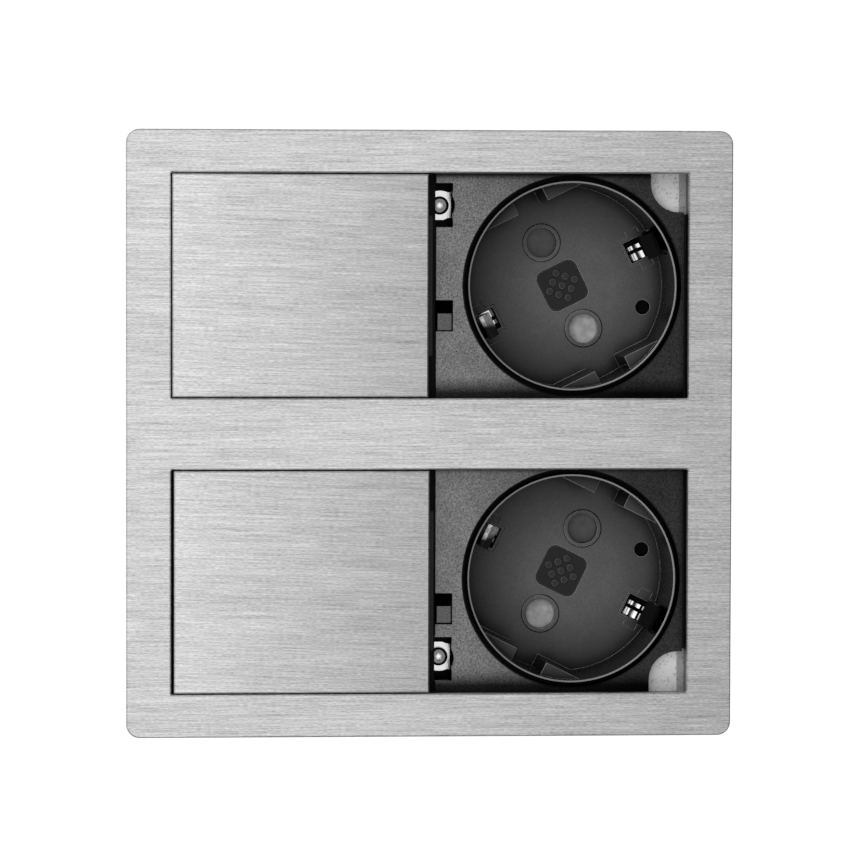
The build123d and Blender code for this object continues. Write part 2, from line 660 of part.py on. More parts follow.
def saddle_ledge():
    """Block beside the well that the saddle clamp is screwed down on."""
    half = SADDLE_SLOT_LENGTH / 2
    depths = (SADDLE_LEDGE_TOP, SADDLE_LEDGE_TOP + SADDLE_LEDGE_DROP)
    span = (SADDLE_SLOT_Y - half, SADDLE_SLOT_Y + half)
    block = slab((PLATE_LEFT - SADDLE_LEDGE_LEFT, WELL_X), span, depths)
    block -= post(WELL_X, 0, WELL_RADIUS + WELL_WALL / 2, depths)
    hole = (SADDLE_LEDGE_TOP, SADDLE_LEDGE_TOP + SADDLE_SCREW_LENGTH)
    return block - post(SADDLE_SCREW_X, SADDLE_SLOT_Y, SADDLE_SCREW_RADIUS + SHAFT_GAP, hole)


def centre_cap():
    """Square cap over the centre screw, with nine raised pips."""
    top = WELL_FLOOR + CAP_DROP
    cap = prism(RectangleRounded(CAP_SIDE, CAP_SIDE, CAP_CORNER), (top, top + CAP_THICK))
    for column in (-1, 0, 1):
        for row in (-1, 0, 1):
            pip = post(column * PIP_PITCH, row * PIP_PITCH, PIP_RADIUS, (top - PIP_RISE, top))
            cap += Rot(0, 0, PIP_TURN) * pip
    return cap


def centre_screw():
    """Screw that draws the well, the base and the earth strap together."""
    head_top = WELL_FLOOR + CAP_DROP + CAP_THICK
    head_end = head_top + SCREW_HEAD_THICK
    screw = post(0, 0, SCREW_HEAD_RADIUS, (head_top, head_end))
    screw += post(0, 0, SCREW_RADIUS, (head_end, SCREW_END))
    return screw - slab(
        (-SLOT_WIDTH / 2, SLOT_WIDTH / 2),
        (-SCREW_HEAD_RADIUS, SCREW_HEAD_RADIUS),
        (head_top, head_top + SLOT_DEPTH),
    )


def centre_nut():
    """Hexagon nut under the earth strap."""
    outline = RegularPolygon(CENTRE_NUT_SIDE / 2, 6, major_radius=False) - Circle(SCREW_RADIUS + SHAFT_GAP)
    return prism(outline, (STRAP_BOTTOM, STRAP_BOTTOM + CENTRE_NUT_THICK))


def pin_shutter():
    """Two ramped blades on a ring that turns about the well's boss."""
    top = WELL_UNDERSIDE + SHUTTER_TOP_GAP
    bottom = top + SHUTTER_THICK
    bore = BOSS_RADIUS + SHAFT_GAP
    hub = post(0, 0, bore + SHUTTER_HUB_WALL, (top, bottom)) - post(0, 0, bore, (top, bottom))
    tip = BLADE_TIP_RADIUS
    half = tip * sin(radians(BLADE_HALF_ANGLE))
    along = tip * cos(radians(BLADE_HALF_ANGLE))
    sector = Polygon((0, 0), (half, along), (half, tip), (-half, tip), (-half, along), align=None)
    blade = prism(sector & Circle(tip), (top, bottom)) - post(0, 0, bore + SHAFT_GAP, (top, bottom))
    ramp = Polygon((-half, height(top)), (half, height(top)), (-half, height(top + BLADE_RAMP)), align=None)
    blade -= Pos(0, tip, 0) * extrude(Plane.XZ * ramp, tip)
    return hub + blade + Rot(0, 0, 180) * blade


def spiral(offset):
    """Points of the spring's winding, this far outside its middle line."""
    inner = HUB_RADIUS + SPRING_STRIP
    outer = SPRING_ROOM_RADIUS - SPRING_STRIP
    steps = int(SPRING_TURNS * 12)
    points = []
    for step in range(steps + 1):
        share = step / steps
        radius = inner + share * (outer - inner) + offset
        angle = radians(share * SPRING_TURNS * 360)
        points.append((radius * cos(angle), radius * sin(angle)))
    return points


def shutter_spring():
    """Flat strip wound from the base's hub out to the wall of its room, under the shutter."""
    inside = spiral(-SPRING_STRIP / 2)
    outside = spiral(SPRING_STRIP / 2)
    edges = Spline(*inside) + Spline(*outside)
    edges += Line(inside[0], outside[0]) + Line(inside[-1], outside[-1])
    foot = SHUTTER_ROOM_FLOOR + SPRING_ROOM_DEPTH - SHAFT_GAP
    return prism(make_face(edges), (foot - SPRING_HEIGHT, foot))


def contact_base():
    """Moulded block under the well that holds the contacts and the shutter."""
    base = post(0, 0, BASE_RADIUS, (WELL_UNDERSIDE, BASE_BOTTOM))
    base &= centred_slab(BASE_FLAT, BASE_RADIUS, (WELL_UNDERSIDE, BASE_BOTTOM))
    base -= post(0, 0, SHUTTER_ROOM_RADIUS, (WELL_UNDERSIDE, SHUTTER_ROOM_FLOOR))
    spring = (SHUTTER_ROOM_FLOOR, SHUTTER_ROOM_FLOOR + SPRING_ROOM_DEPTH)
    base -= post(0, 0, SPRING_ROOM_RADIUS, spring) - post(0, 0, HUB_RADIUS, spring)
    base -= post(0, 0, SCREW_RADIUS + SHAFT_GAP, (WELL_UNDERSIDE, BASE_BOTTOM))
    half = CHAMBER_WIDTH / 2
    for end in (-1, 1):
        near = end * (PIN_REACH - CHAMBER_HALF_LENGTH)
        far = end * (PIN_REACH + CHAMBER_HALF_LENGTH)
        tail = end * (TAIL_REACH + SEAT_GAP)
        base -= slab((-half, half), sorted((near, far)), (SHUTTER_ROOM_FLOOR, CHAMBER_BOTTOM))
        tail_end = TAIL_DEPTH + TAIL_THICK / 2
        channel = (SHUTTER_ROOM_FLOOR, tail_end)
        base -= slab((-half, half), sorted((far, tail)), channel)
        pocket = TERMINAL_POCKET_WIDTH / 2
        opening = sorted((end * (TAIL_SCREW_REACH - pocket), end * (BASE_RADIUS + pocket)))
        base -= slab((-pocket, pocket), opening, (tail_end, BASE_BOTTOM))
    return base


def pin_contact(end):
    """Folded brass socket for one pin, with a tail to its screw."""
    top = SHUTTER_ROOM_FLOOR + CONTACT_TOP_GAP
    rise = [
        (CONTACT_SPREAD, top),
        (CONTACT_PINCH + CONTACT_SHEET / 2, top + CONTACT_PINCH_DROP),
        (CONTACT_SPREAD, TAIL_DEPTH),
        (CONTACT_SPREAD, CHAMBER_BOTTOM - CONTACT_FOOT_GAP),
    ]
    fall = [(-x, depth) for x, depth in reversed(rise)]
    contact = bent_strip(rise + fall, CONTACT_SHEET, CONTACT_WIDTH)
    tail_left = CONTACT_SPREAD
    tail_right = TAIL_REACH - PIN_REACH
    half = CONTACT_WIDTH / 2
    depths = (TAIL_DEPTH - TAIL_THICK / 2, TAIL_DEPTH + TAIL_THICK / 2)
    contact += slab((tail_left, tail_right), (-half, half), depths)
    hole = TAIL_SCREW_REACH - PIN_REACH
    contact -= post(hole, 0, TERMINAL_SCREW_RADIUS + SHAFT_GAP, depths)
    return Rot(0, 0, end * 90) * Pos(PIN_REACH, 0, 0) * contact


def terminal_screws():
    """Screws of the line, neutral and earth terminals of one unit."""
    head_top = TAIL_DEPTH + TAIL_THICK / 2 + SLOT_WIDTH
    screws = []
    for end in (-1, 1):
        y = end * TAIL_SCREW_REACH
        screw = post(0, y, TERMINAL_SCREW_RADIUS, (TAIL_DEPTH - TERMINAL_HEAD_THICK, head_top))
        screw += post(0, y, TERMINAL_HEAD_RADIUS, (head_top, head_top + TERMINAL_HEAD_THICK))
        screws.append(screw)
    under = (STRAP_BOTTOM, STRAP_BOTTOM + TERMINAL_HEAD_THICK)
    earth = post(STRAP_TERMINAL_REACH, 0, TERMINAL_HEAD_RADIUS, under)
    earth += post(STRAP_TERMINAL_REACH, 0, TERMINAL_SCREW_RADIUS, (BASE_BOTTOM, STRAP_BOTTOM))
    screws.append(earth)
    return Compound(screws)


def earth_strap():
    """Bent strip that runs under the base and up both sides to the two plug clips."""
    rise = [
        (WELL_RADIUS - STRAP_END_INSET, WELL_RIM + STRAP_END_DROP),
        (WELL_RADIUS - STRAP_TIP_INSET, WELL_RIM + STRAP_TIP_DROP),
        (STRAP_LEG, WELL_FLOOR - STRAP_CLIP_START),
        (STRAP_LEG, BASE_BOTTOM + STRAP_SHEET / 2),
    ]
    fall = [(-x, depth) for x, depth in reversed(rise)]
    strap = bent_strip(rise + fall, STRAP_SHEET, STRAP_WIDTH)
    depths = (BASE_BOTTOM, STRAP_BOTTOM)
    strap -= post(0, 0, SCREW_RADIUS + SHAFT_GAP, depths)
    return strap - post(STRAP_TERMINAL_REACH, 0, TERMINAL_SCREW_RADIUS + SHAFT_GAP, depths)


def saddle_outline():
    """Pressed outline about the screw: arched outer end, tapered inner end, a step at the right."""
    lug_right = SADDLE_RIGHT + SADDLE_GROOVE + SADDLE_LUG_WIDTH
    crown = ((SADDLE_RIGHT - SADDLE_LEFT) / 2, SADDLE_OUTER + SADDLE_ARCH)
    shoulders = [(-SADDLE_LEFT, SADDLE_OUTER), (lug_right, SADDLE_OUTER)]
    arch = ThreePointArc(shoulders[0], crown, (SADDLE_RIGHT, SADDLE_OUTER))
    foot = SADDLE_INNER - SADDLE_TAPER / 2
    sides = Polyline(
        (SADDLE_RIGHT, SADDLE_OUTER),
        shoulders[1],
        (lug_right, -foot),
        (SADDLE_RIGHT, -foot),
        (SADDLE_RIGHT - SADDLE_TAPER, -SADDLE_INNER),
        (SADDLE_TAPER / 2 - SADDLE_LEFT, -SADDLE_INNER),
        shoulders[0],
    )
    return make_face(arch + sides)


def saddle_clamp(side):
    """Pressed piece under its screw, with a groove that sets off a lug at each end."""
    top = SADDLE_LEDGE_TOP - SADDLE_SHEET
    plate = prism(saddle_outline(), (top, SADDLE_LEDGE_TOP))
    lug_left = SADDLE_RIGHT + SADDLE_GROOVE
    lug_right = lug_left + SADDLE_LUG_WIDTH
    half = SADDLE_LEDGE_TOP
    plate -= slab((SADDLE_RIGHT, lug_left), (-half, half), (top, top + SADDLE_GROOVE_DEPTH))
    foot = SADDLE_INNER - SADDLE_TAPER / 2
    between = (SADDLE_LUG_LENGTH - foot, SADDLE_OUTER - SADDLE_LUG_LENGTH)
    plate -= slab((lug_left, lug_right), between, (top, top + SADDLE_GROOVE_DEPTH))
    plate -= post(0, 0, SADDLE_SCREW_RADIUS + SHAFT_GAP, (top, SADDLE_LEDGE_TOP))
    return in_row(Pos(SADDLE_SCREW_X, SADDLE_SLOT_Y, 0) * plate, side)


def saddle_screw(side):
    """Pan-headed screw with a cross recess, through the saddle clamp."""
    head_end = SADDLE_LEDGE_TOP - SADDLE_SHEET
    head_top = head_end - SADDLE_HEAD_THICK
    head = fillet(top_edges(post(0, 0, SADDLE_HEAD_RADIUS, (head_top, head_end))), SADDLE_HEAD_THICK / 2)
    arm = SADDLE_HEAD_RADIUS / 2
    half = CROSS_WIDTH / 2
    recess = (head_top, head_top + CROSS_DEPTH)
    head -= slab((-arm, arm), (-half, half), recess) + slab((-half, half), (-arm, arm), recess)
    end = SADDLE_LEDGE_TOP + SADDLE_SCREW_LENGTH - SEAT_GAP
    screw = head + post(0, 0, SADDLE_SCREW_RADIUS, (head_end, end))
    return in_row(Pos(SADDLE_SCREW_X, SADDLE_SLOT_Y, 0) * screw, side)


def rear_housing():
    """Open-topped box under the tray, with screw columns and a pocket for the cable entry."""
    box = centred_slab(HOUSING_HALF_X, HOUSING_HALF_Y, (TRAY_BOTTOM, TOTAL_HEIGHT), HOUSING_CORNER)
    inner_corner = HOUSING_CORNER - HOUSING_WALL
    room = centred_slab(HOUSING_INNER_X, HOUSING_INNER_Y, (TRAY_BOTTOM, HOUSING_FLOOR), inner_corner)
    pocket_x = (-HOUSING_HALF_X, POCKET_WALL_X + HOUSING_WALL)
    pocket_y = (-POCKET_HALF_WIDTH, POCKET_HALF_WIDTH)
    wall_y = (pocket_y[0] - HOUSING_WALL, pocket_y[1] + HOUSING_WALL)
    roof = POCKET_TOP - HOUSING_WALL
    jacket = slab(pocket_x, wall_y, (roof, TOTAL_HEIGHT))
    for x, y in housing_columns():
        room -= post(x, y, COLUMN_RADIUS, (TRAY_BOTTOM, HOUSING_FLOOR))
    box -= room - jacket
    box -= slab(pocket_x, pocket_y, (POCKET_TOP, TOTAL_HEIGHT))
    head_top = TRAY_FLOOR + HOUSING_SCREW_LENGTH
    for x, y in housing_columns():
        box -= post(x, y, HOUSING_SCREW_RADIUS + SHAFT_GAP, (TRAY_BOTTOM, head_top))
        box -= post(x, y, HOUSING_HEAD_RADIUS + SEAT_GAP, (head_top, TOTAL_HEIGHT))
    return box


def entry_plate():
    """Plate that closes the back of the pocket and carries the cable gland."""
    half_y = POCKET_HALF_WIDTH - SHAFT_GAP
    plate_x = (POCKET_WALL_X, POCKET_WALL_X + HOUSING_WALL)
    plate = slab(plate_x, (-half_y, half_y), (POCKET_TOP, TOTAL_HEIGHT))
    return plate - entry_bore(GLAND_THREAD_RADIUS + SHAFT_GAP, POCKET_WALL_X, HOUSING_WALL)


def entry_bore(radius, start_x, length):
    """Cylinder along X on the cable entry's axis."""
    bore = Rot(0, 90, 0) * Cylinder(radius, length, align=(Align.CENTER, Align.CENTER, Align.MIN))
    return Pos(start_x, 0, height(ENTRY_DEPTH)) * bore


def housing_screws():
    """Screws in the housing's columns, up into the tray."""
    head_top = TRAY_FLOOR + HOUSING_SCREW_LENGTH
    screws = []
    for x, y in housing_columns():
        screw = post(x, y, HOUSING_SCREW_RADIUS, (TRAY_FLOOR, head_top))
        screw += post(x, y, HOUSING_HEAD_RADIUS, (head_top, head_top + HOUSING_HEAD_THICK))
        screws.append(screw)
    return Compound(screws)


def cable_gland():
    """Bush for the supply cable: hexagon flange outside, threaded neck through the wall."""
    hexagon = extrude(RegularPolygon(GLAND_HEX_SIDE / 2, 6, major_radius=False), GLAND_HEX_THICK)
    flange = Pos(POCKET_WALL_X - GLAND_HEX_THICK, 0, height(ENTRY_DEPTH)) * Rot(0, 90, 0) * hexagon
    neck_length = HOUSING_WALL + GLAND_NUT_THICK + SLOT_WIDTH
    gland = flange + entry_bore(GLAND_THREAD_RADIUS, POCKET_WALL_X, neck_length)
    dome_left = POCKET_WALL_X - GLAND_HEX_THICK - GLAND_NECK
    gland += entry_bore(GLAND_THREAD_RADIUS, dome_left, GLAND_NECK)
    gland = chamfer(gland.faces().sort_by(Axis.X)[0].edges(), SLOT_WIDTH)
    return gland - entry_bore(GLAND_BORE, dome_left, GLAND_NECK + GLAND_HEX_THICK + neck_length)


def gland_nut():
    """Ring nut on the gland's neck, inside the housing."""
    hexagon = RegularPolygon(GLAND_HEX_SIDE / 2, 6, major_radius=False)
    ring = extrude(hexagon - Circle(GLAND_THREAD_RADIUS + SHAFT_GAP), GLAND_NUT_THICK)
    return Pos(POCKET_WALL_X + HOUSING_WALL, 0, height(ENTRY_DEPTH)) * Rot(0, 90, 0) * ring


def cord_clamp():
    """Bar over two posts that holds the supply cable down."""
    half_x = CLAMP_WIDTH / 2
    half_y = CLAMP_LENGTH / 2
    top = ENTRY_DEPTH - GLAND_BORE - CLAMP_THICK
    across = (CLAMP_X - half_x, CLAMP_X + half_x)
    bar = slab(across, (-half_y, half_y), (top, top + CLAMP_THICK), CLAMP_CORNER)
    for hand in (-1, 1):
        y = hand * CLAMP_SCREW_SPACING / 2
        bar += post(CLAMP_X, y, CLAMP_POST_RADIUS, (top + CLAMP_THICK, HOUSING_FLOOR))
        bar -= post(CLAMP_X, y, TERMINAL_SCREW_RADIUS + SHAFT_GAP, (top, HOUSING_FLOOR))
    return bar


def cord_clamp_screws():
    """Two screws down through the cord clamp."""
    top = ENTRY_DEPTH - GLAND_BORE - CLAMP_THICK
    screws = []
    for hand in (-1, 1):
        y = hand * CLAMP_SCREW_SPACING / 2
        screw = post(CLAMP_X, y, TERMINAL_SCREW_RADIUS, (top, HOUSING_FLOOR))
        screw += post(CLAMP_X, y, TERMINAL_HEAD_RADIUS, (top - TERMINAL_HEAD_THICK, top))
        screws.append(screw)
    return Compound(screws)


def block_poles():
    """Y of each pole of the supply terminal block."""
    return [(number - (BLOCK_POLES - 1) / 2) * BLOCK_PITCH for number in range(BLOCK_POLES)]


def terminal_block():
    """Moulded block with one wire bore and two screw wells for each pole."""
    half_x = BLOCK_WIDTH / 2
    half_y = BLOCK_LENGTH / 2
    top = HOUSING_FLOOR - BLOCK_HEIGHT
    block = slab((BLOCK_X - half_x, BLOCK_X + half_x), (-half_y, half_y), (top, HOUSING_FLOOR), SLOT_WIDTH)
    for y in block_poles():
        bore = Rot(0, 90, 0) * Cylinder(BLOCK_BORE, BLOCK_WIDTH)
        block -= Pos(BLOCK_X, y, height(HOUSING_FLOOR - BLOCK_HEIGHT / 2)) * bore
        for x in block_screw_places():
            block -= post(x, y, BLOCK_SCREW_RADIUS + SHAFT_GAP, (top, top + BLOCK_HEIGHT / 2))
    return block


def block_screw_places():
    """X of the two screws of each pole."""
    return [BLOCK_X + hand * BLOCK_WIDTH / 4 for hand in (-1, 1)]


def terminal_block_screws():
    """Grub screws of the supply terminal block."""
    top = HOUSING_FLOOR - BLOCK_HEIGHT
    depths = (top + SLOT_WIDTH, top + BLOCK_HEIGHT / 2)
    screws = []
    for y in block_poles():
        for x in block_screw_places():
            half = SLOT_WIDTH / 2
            along = (x - BLOCK_SCREW_RADIUS, x + BLOCK_SCREW_RADIUS)
            slot = slab(along, (y - half, y + half), (depths[0], depths[0] + SLOT_DEPTH))
            screws.append(post(x, y, BLOCK_SCREW_RADIUS, depths) - slot)
    return Compound(screws)


def retaining_springs():
    """Four bent leaves on the housing's sides that grip the cut-out from below."""
    start = HOUSING_HALF_X + RETAINER_SHEET / 2
    points = [
        (start, TOTAL_HEIGHT - RETAINER_FOOT),
        (start, TOTAL_HEIGHT - RETAINER_BEND_RISE),
        (start + RETAINER_SPREAD, TOTAL_HEIGHT - RETAINER_ELBOW_RISE),
        (start + RETAINER_SPREAD / 2, TOTAL_HEIGHT - RETAINER_END_RISE),
    ]
    leaf = bent_strip(points, RETAINER_SHEET, RETAINER_WIDTH)
    leaf -= side_bore(TERMINAL_SCREW_RADIUS + SHAFT_GAP, RETAINER_SHEET)
    leaves = []
    for turn in (0, 180):
        for y in (-RETAINER_Y, RETAINER_Y):
            leaves.append(Rot(0, 0, turn) * Pos(0, y, 0) * leaf)
    return Compound(leaves)


def side_bore(radius, length):
    """Cylinder that starts at the housing's side and runs outward along X."""
    bore = Rot(0, 90, 0) * Cylinder(radius, length, align=(Align.CENTER, Align.CENTER, Align.MIN))
    return Pos(HOUSING_HALF_X, 0, RETAINER_SCREW_RISE) * bore


def retainer_screws():
    """Screws that hold the retaining springs."""
    head = side_bore(TERMINAL_HEAD_RADIUS, RETAINER_SHEET + RETAINER_SCREW_LENGTH)
    head -= side_bore(TERMINAL_HEAD_RADIUS, RETAINER_SHEET)
    screw = head + side_bore(TERMINAL_SCREW_RADIUS, RETAINER_SHEET)
    screws = []
    for turn in (0, 180):
        for y in (-RETAINER_Y, RETAINER_Y):
            screws.append(Rot(0, 0, turn) * Pos(0, y, 0) * screw)
    return Compound(screws)


def save(name, shape):
    """Write one piece to its own file."""
    export_step(shape, f"parts/{name}.step")


COMMON = {
    "face_frame": face_frame,
    "frame_nuts": frame_nuts,
    "mounting_tray": mounting_tray,
    "flange_seal": flange_seal,
    "centre_bridge": centre_bridge,
    "rear_housing": rear_housing,
    "housing_screws": housing_screws,
    "entry_plate": entry_plate,
    "cable_gland": cable_gland,
    "gland_nut": gland_nut,
    "cord_clamp": cord_clamp,
    "cord_clamp_screws": cord_clamp_screws,
    "terminal_block": terminal_block,
    "terminal_block_screws": terminal_block_screws,
    "retaining_springs": retaining_springs,
    "retainer_screws": retainer_screws,
}

IN_ROW = {
    "lid_plate": lid_plate,
    "lid_carrier": lid_carrier,
    "slide_rails": slide_rails,
    "blanking_floor": blanking_floor,
    "socket_plate": socket_plate,
    "socket_well": socket_well,
    "saddle_clamp": saddle_clamp,
    "saddle_screw": saddle_screw,
}

IN_WELL = {
    "centre_cap": centre_cap,
    "centre_screw": centre_screw,
    "centre_nut": centre_nut,
    "pin_shutter": pin_shutter,
    "shutter_spring": shutter_spring,
    "contact_base": contact_base,
    "earth_strap": earth_strap,
    "terminal_screws": terminal_screws,
}

for name, make in COMMON.items():
    save(name, make())

for row, side in SIDES.items():
    for name, make in IN_ROW.items():
        save(f"{row}_{name}", make(side))
    for name, make in IN_WELL.items():
        save(f"{row}_{name}", in_well(make(), side))
    save(f"{row}_line_contact", in_well(pin_contact(1), side))
    save(f"{row}_neutral_contact", in_well(pin_contact(-1), side))
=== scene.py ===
# %% [markdown]
# # Dressing a flush double socket
#
# The solids of this socket come ready made, in metres, with the face looking up along Z.
# This lesson gives every piece its finish: brushed steel, matt and glossy black plastic,
# bright plated clips. Then it sets the light and the camera of a plain product picture.

# %% Load the socket
import json
import math

import bmesh
import bpy
from mathutils import Matrix, Vector


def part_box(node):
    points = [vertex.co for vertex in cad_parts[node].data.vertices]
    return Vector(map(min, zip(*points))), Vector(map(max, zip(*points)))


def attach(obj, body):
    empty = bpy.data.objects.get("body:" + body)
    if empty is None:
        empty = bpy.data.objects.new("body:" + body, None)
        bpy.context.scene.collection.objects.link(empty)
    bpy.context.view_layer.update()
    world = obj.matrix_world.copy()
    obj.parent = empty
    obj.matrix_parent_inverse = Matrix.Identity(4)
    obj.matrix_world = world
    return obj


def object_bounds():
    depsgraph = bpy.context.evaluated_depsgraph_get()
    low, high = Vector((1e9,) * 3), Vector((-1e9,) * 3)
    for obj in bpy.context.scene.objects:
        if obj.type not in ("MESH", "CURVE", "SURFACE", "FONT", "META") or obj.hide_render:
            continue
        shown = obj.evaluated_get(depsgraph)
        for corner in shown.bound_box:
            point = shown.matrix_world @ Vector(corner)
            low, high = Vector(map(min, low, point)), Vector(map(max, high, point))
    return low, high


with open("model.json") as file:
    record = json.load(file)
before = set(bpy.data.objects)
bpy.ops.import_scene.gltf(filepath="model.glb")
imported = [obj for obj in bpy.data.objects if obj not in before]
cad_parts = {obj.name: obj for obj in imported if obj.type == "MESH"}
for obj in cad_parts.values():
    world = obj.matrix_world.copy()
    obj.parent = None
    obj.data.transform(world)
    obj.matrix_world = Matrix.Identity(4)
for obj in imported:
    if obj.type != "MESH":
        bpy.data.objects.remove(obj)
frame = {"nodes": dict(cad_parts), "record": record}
record = frame["record"]
nodes = frame["nodes"]
cad_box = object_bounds()

# %% [markdown]
# Several finishes change from place to place, so they need to know where each well stands.
# The record holds it: the place where the plug goes in, and the boxes of the pin holes and
# of the window. Reading them there is safer than writing the numbers again, because they
# stay right when the socket is changed.

# %% Where the two wells stand
MM = 0.001
opening_box = {entry["name"]: entry["box_m"] for entry in record["physics"]["openings"]}


def middle(box):
    """Where the middle of a box lies on the face."""
    return tuple((low + high) / 2 for low, high in zip(box[0][:2], box[1][:2]))


class Well:
    """One well: its axis, its floor, its two pin holes and the line from hole to hole."""

    def __init__(self, mount):
        self.row = mount["name"].split("_")[0]
        self.x, self.y, self.floor = mount["pos_m"]
        self.centre = (self.x, self.y)
        self.pins = [middle(opening_box[f"{self.row}_{pole}_pin_hole"]) for pole in ("line", "neutral")]
        self.pin_line = (self.pins[0][0] - self.pins[1][0], self.pins[0][1] - self.pins[1][1])
        self.window_bottom = opening_box[f"{self.row}_window"][0][1]

    def outward(self, hand):
        """The direction from the axis to the right (1) or the left (-1) earth clip."""
        along_pins = Vector(self.pin_line).normalized()
        direction = Vector((along_pins.y, -along_pins.x)) * hand
        return -direction if direction.x * hand < 0 else direction


wells = [Well(mount) for mount in record["mounts"] if "plug" in mount["name"]]
print("wells:", [(well.row, well.centre) for well in wells])

# %% [markdown]
# Shader sums are easier to read as sums. `Signal` wraps the output of a shader node, so that
# `1 - mask` or `grain * 0.3` adds the Math node that does it. The alternative is a long list
# of nodes and links, in which the formula gets lost.

# %% Write shader sums as plain sums
class Signal:
    """The output of a shader node, which can be added, scaled and compared like a number."""

    def __init__(self, shading, socket):
        self.shading = shading
        self.socket = socket

    def sum_of(self, operation, first, second):
        return self.shading.node("ShaderNodeMath", {"operation": operation}, {0: first, 1: second})

    def __add__(self, other):
        return self.sum_of("ADD", self, other)

    def __radd__(self, other):
        return self.sum_of("ADD", other, self)

    def __sub__(self, other):
        return self.sum_of("SUBTRACT", self, other)

    def __rsub__(self, other):
        return self.sum_of("SUBTRACT", other, self)

    def __mul__(self, other):
        return self.sum_of("MULTIPLY", self, other)

    def __rmul__(self, other):
        return self.sum_of("MULTIPLY", other, self)

    def __gt__(self, other):
        return self.sum_of("GREATER_THAN", self, other)

    def __lt__(self, other):
        return self.sum_of("LESS_THAN", self, other)

    def within(self, low, high):
        """1 where the signal lies between two values."""
        return (self > low) * (self < high)


# %% [markdown]
# A material is built round one Principled shader. The `node` method adds any other node: the
# type, the settings, then the values or links of its sockets. Constants go straight on the
# shader's own sockets, because an export keeps only those.

# %% One way to add any node
class Shading:
    """One material: a Principled shader and the nodes that feed it."""

    def __init__(self, name, **constants):
        self.material = bpy.data.materials.new(name)
        self.material.use_nodes = True
        self.tree = self.material.node_tree
        self.shader = self.tree.nodes["Principled BSDF"]
        for socket, value in constants.items():
            self.shader.inputs[self.label(socket)].default_value = value

    def label(self, argument):
        """The name of a shader socket: base_color stands for Base Color."""
        return argument.replace("_", " ").title().replace("Ior", "IOR")

    def connect(self, socket, value):
        if isinstance(value, Signal):
            self.tree.links.new(value.socket, socket)
        else:
            socket.default_value = value

    def node(self, kind, settings=None, values=None, output=0):
        made = self.tree.nodes.new(kind)
        for setting, value in (settings or {}).items():
            if setting == "stops":
                self.set_stops(made.color_ramp, value)
            else:
                setattr(made, setting, value)
        for socket, value in (values or {}).items():
            self.connect(made.inputs[socket], value)
        return Signal(self, made.outputs[output])

    def set_stops(self, ramp, stops):
        while len(ramp.elements) < len(stops):
            ramp.elements.new(1.0)
        for element, (place, level) in zip(ramp.elements, stops):
            element.position = place
            element.color = grey(level)

    def feed(self, **inputs):
        for socket, value in inputs.items():
            self.connect(self.shader.inputs[self.label(socket)], value)
        return self.material


def grey(level):
    """A grey as a colour."""
    return (level, level, level, 1.0)


# %% [markdown]
# Every finish of the socket is made from the same few patterns: a slope along an axis, the
# distance from a line, noise of a given grain in millimetres, and a thin line along the
# edges. With these as methods, a finish says what it looks like and not how nodes are
# linked. Places are in metres, as on the socket itself.

# %% Places and patterns on the socket
UP_LIMIT = 0.6
EDGE_LIMIT = 0.97
BEVEL_SAMPLES = 6
SKY_SAMPLES = 8


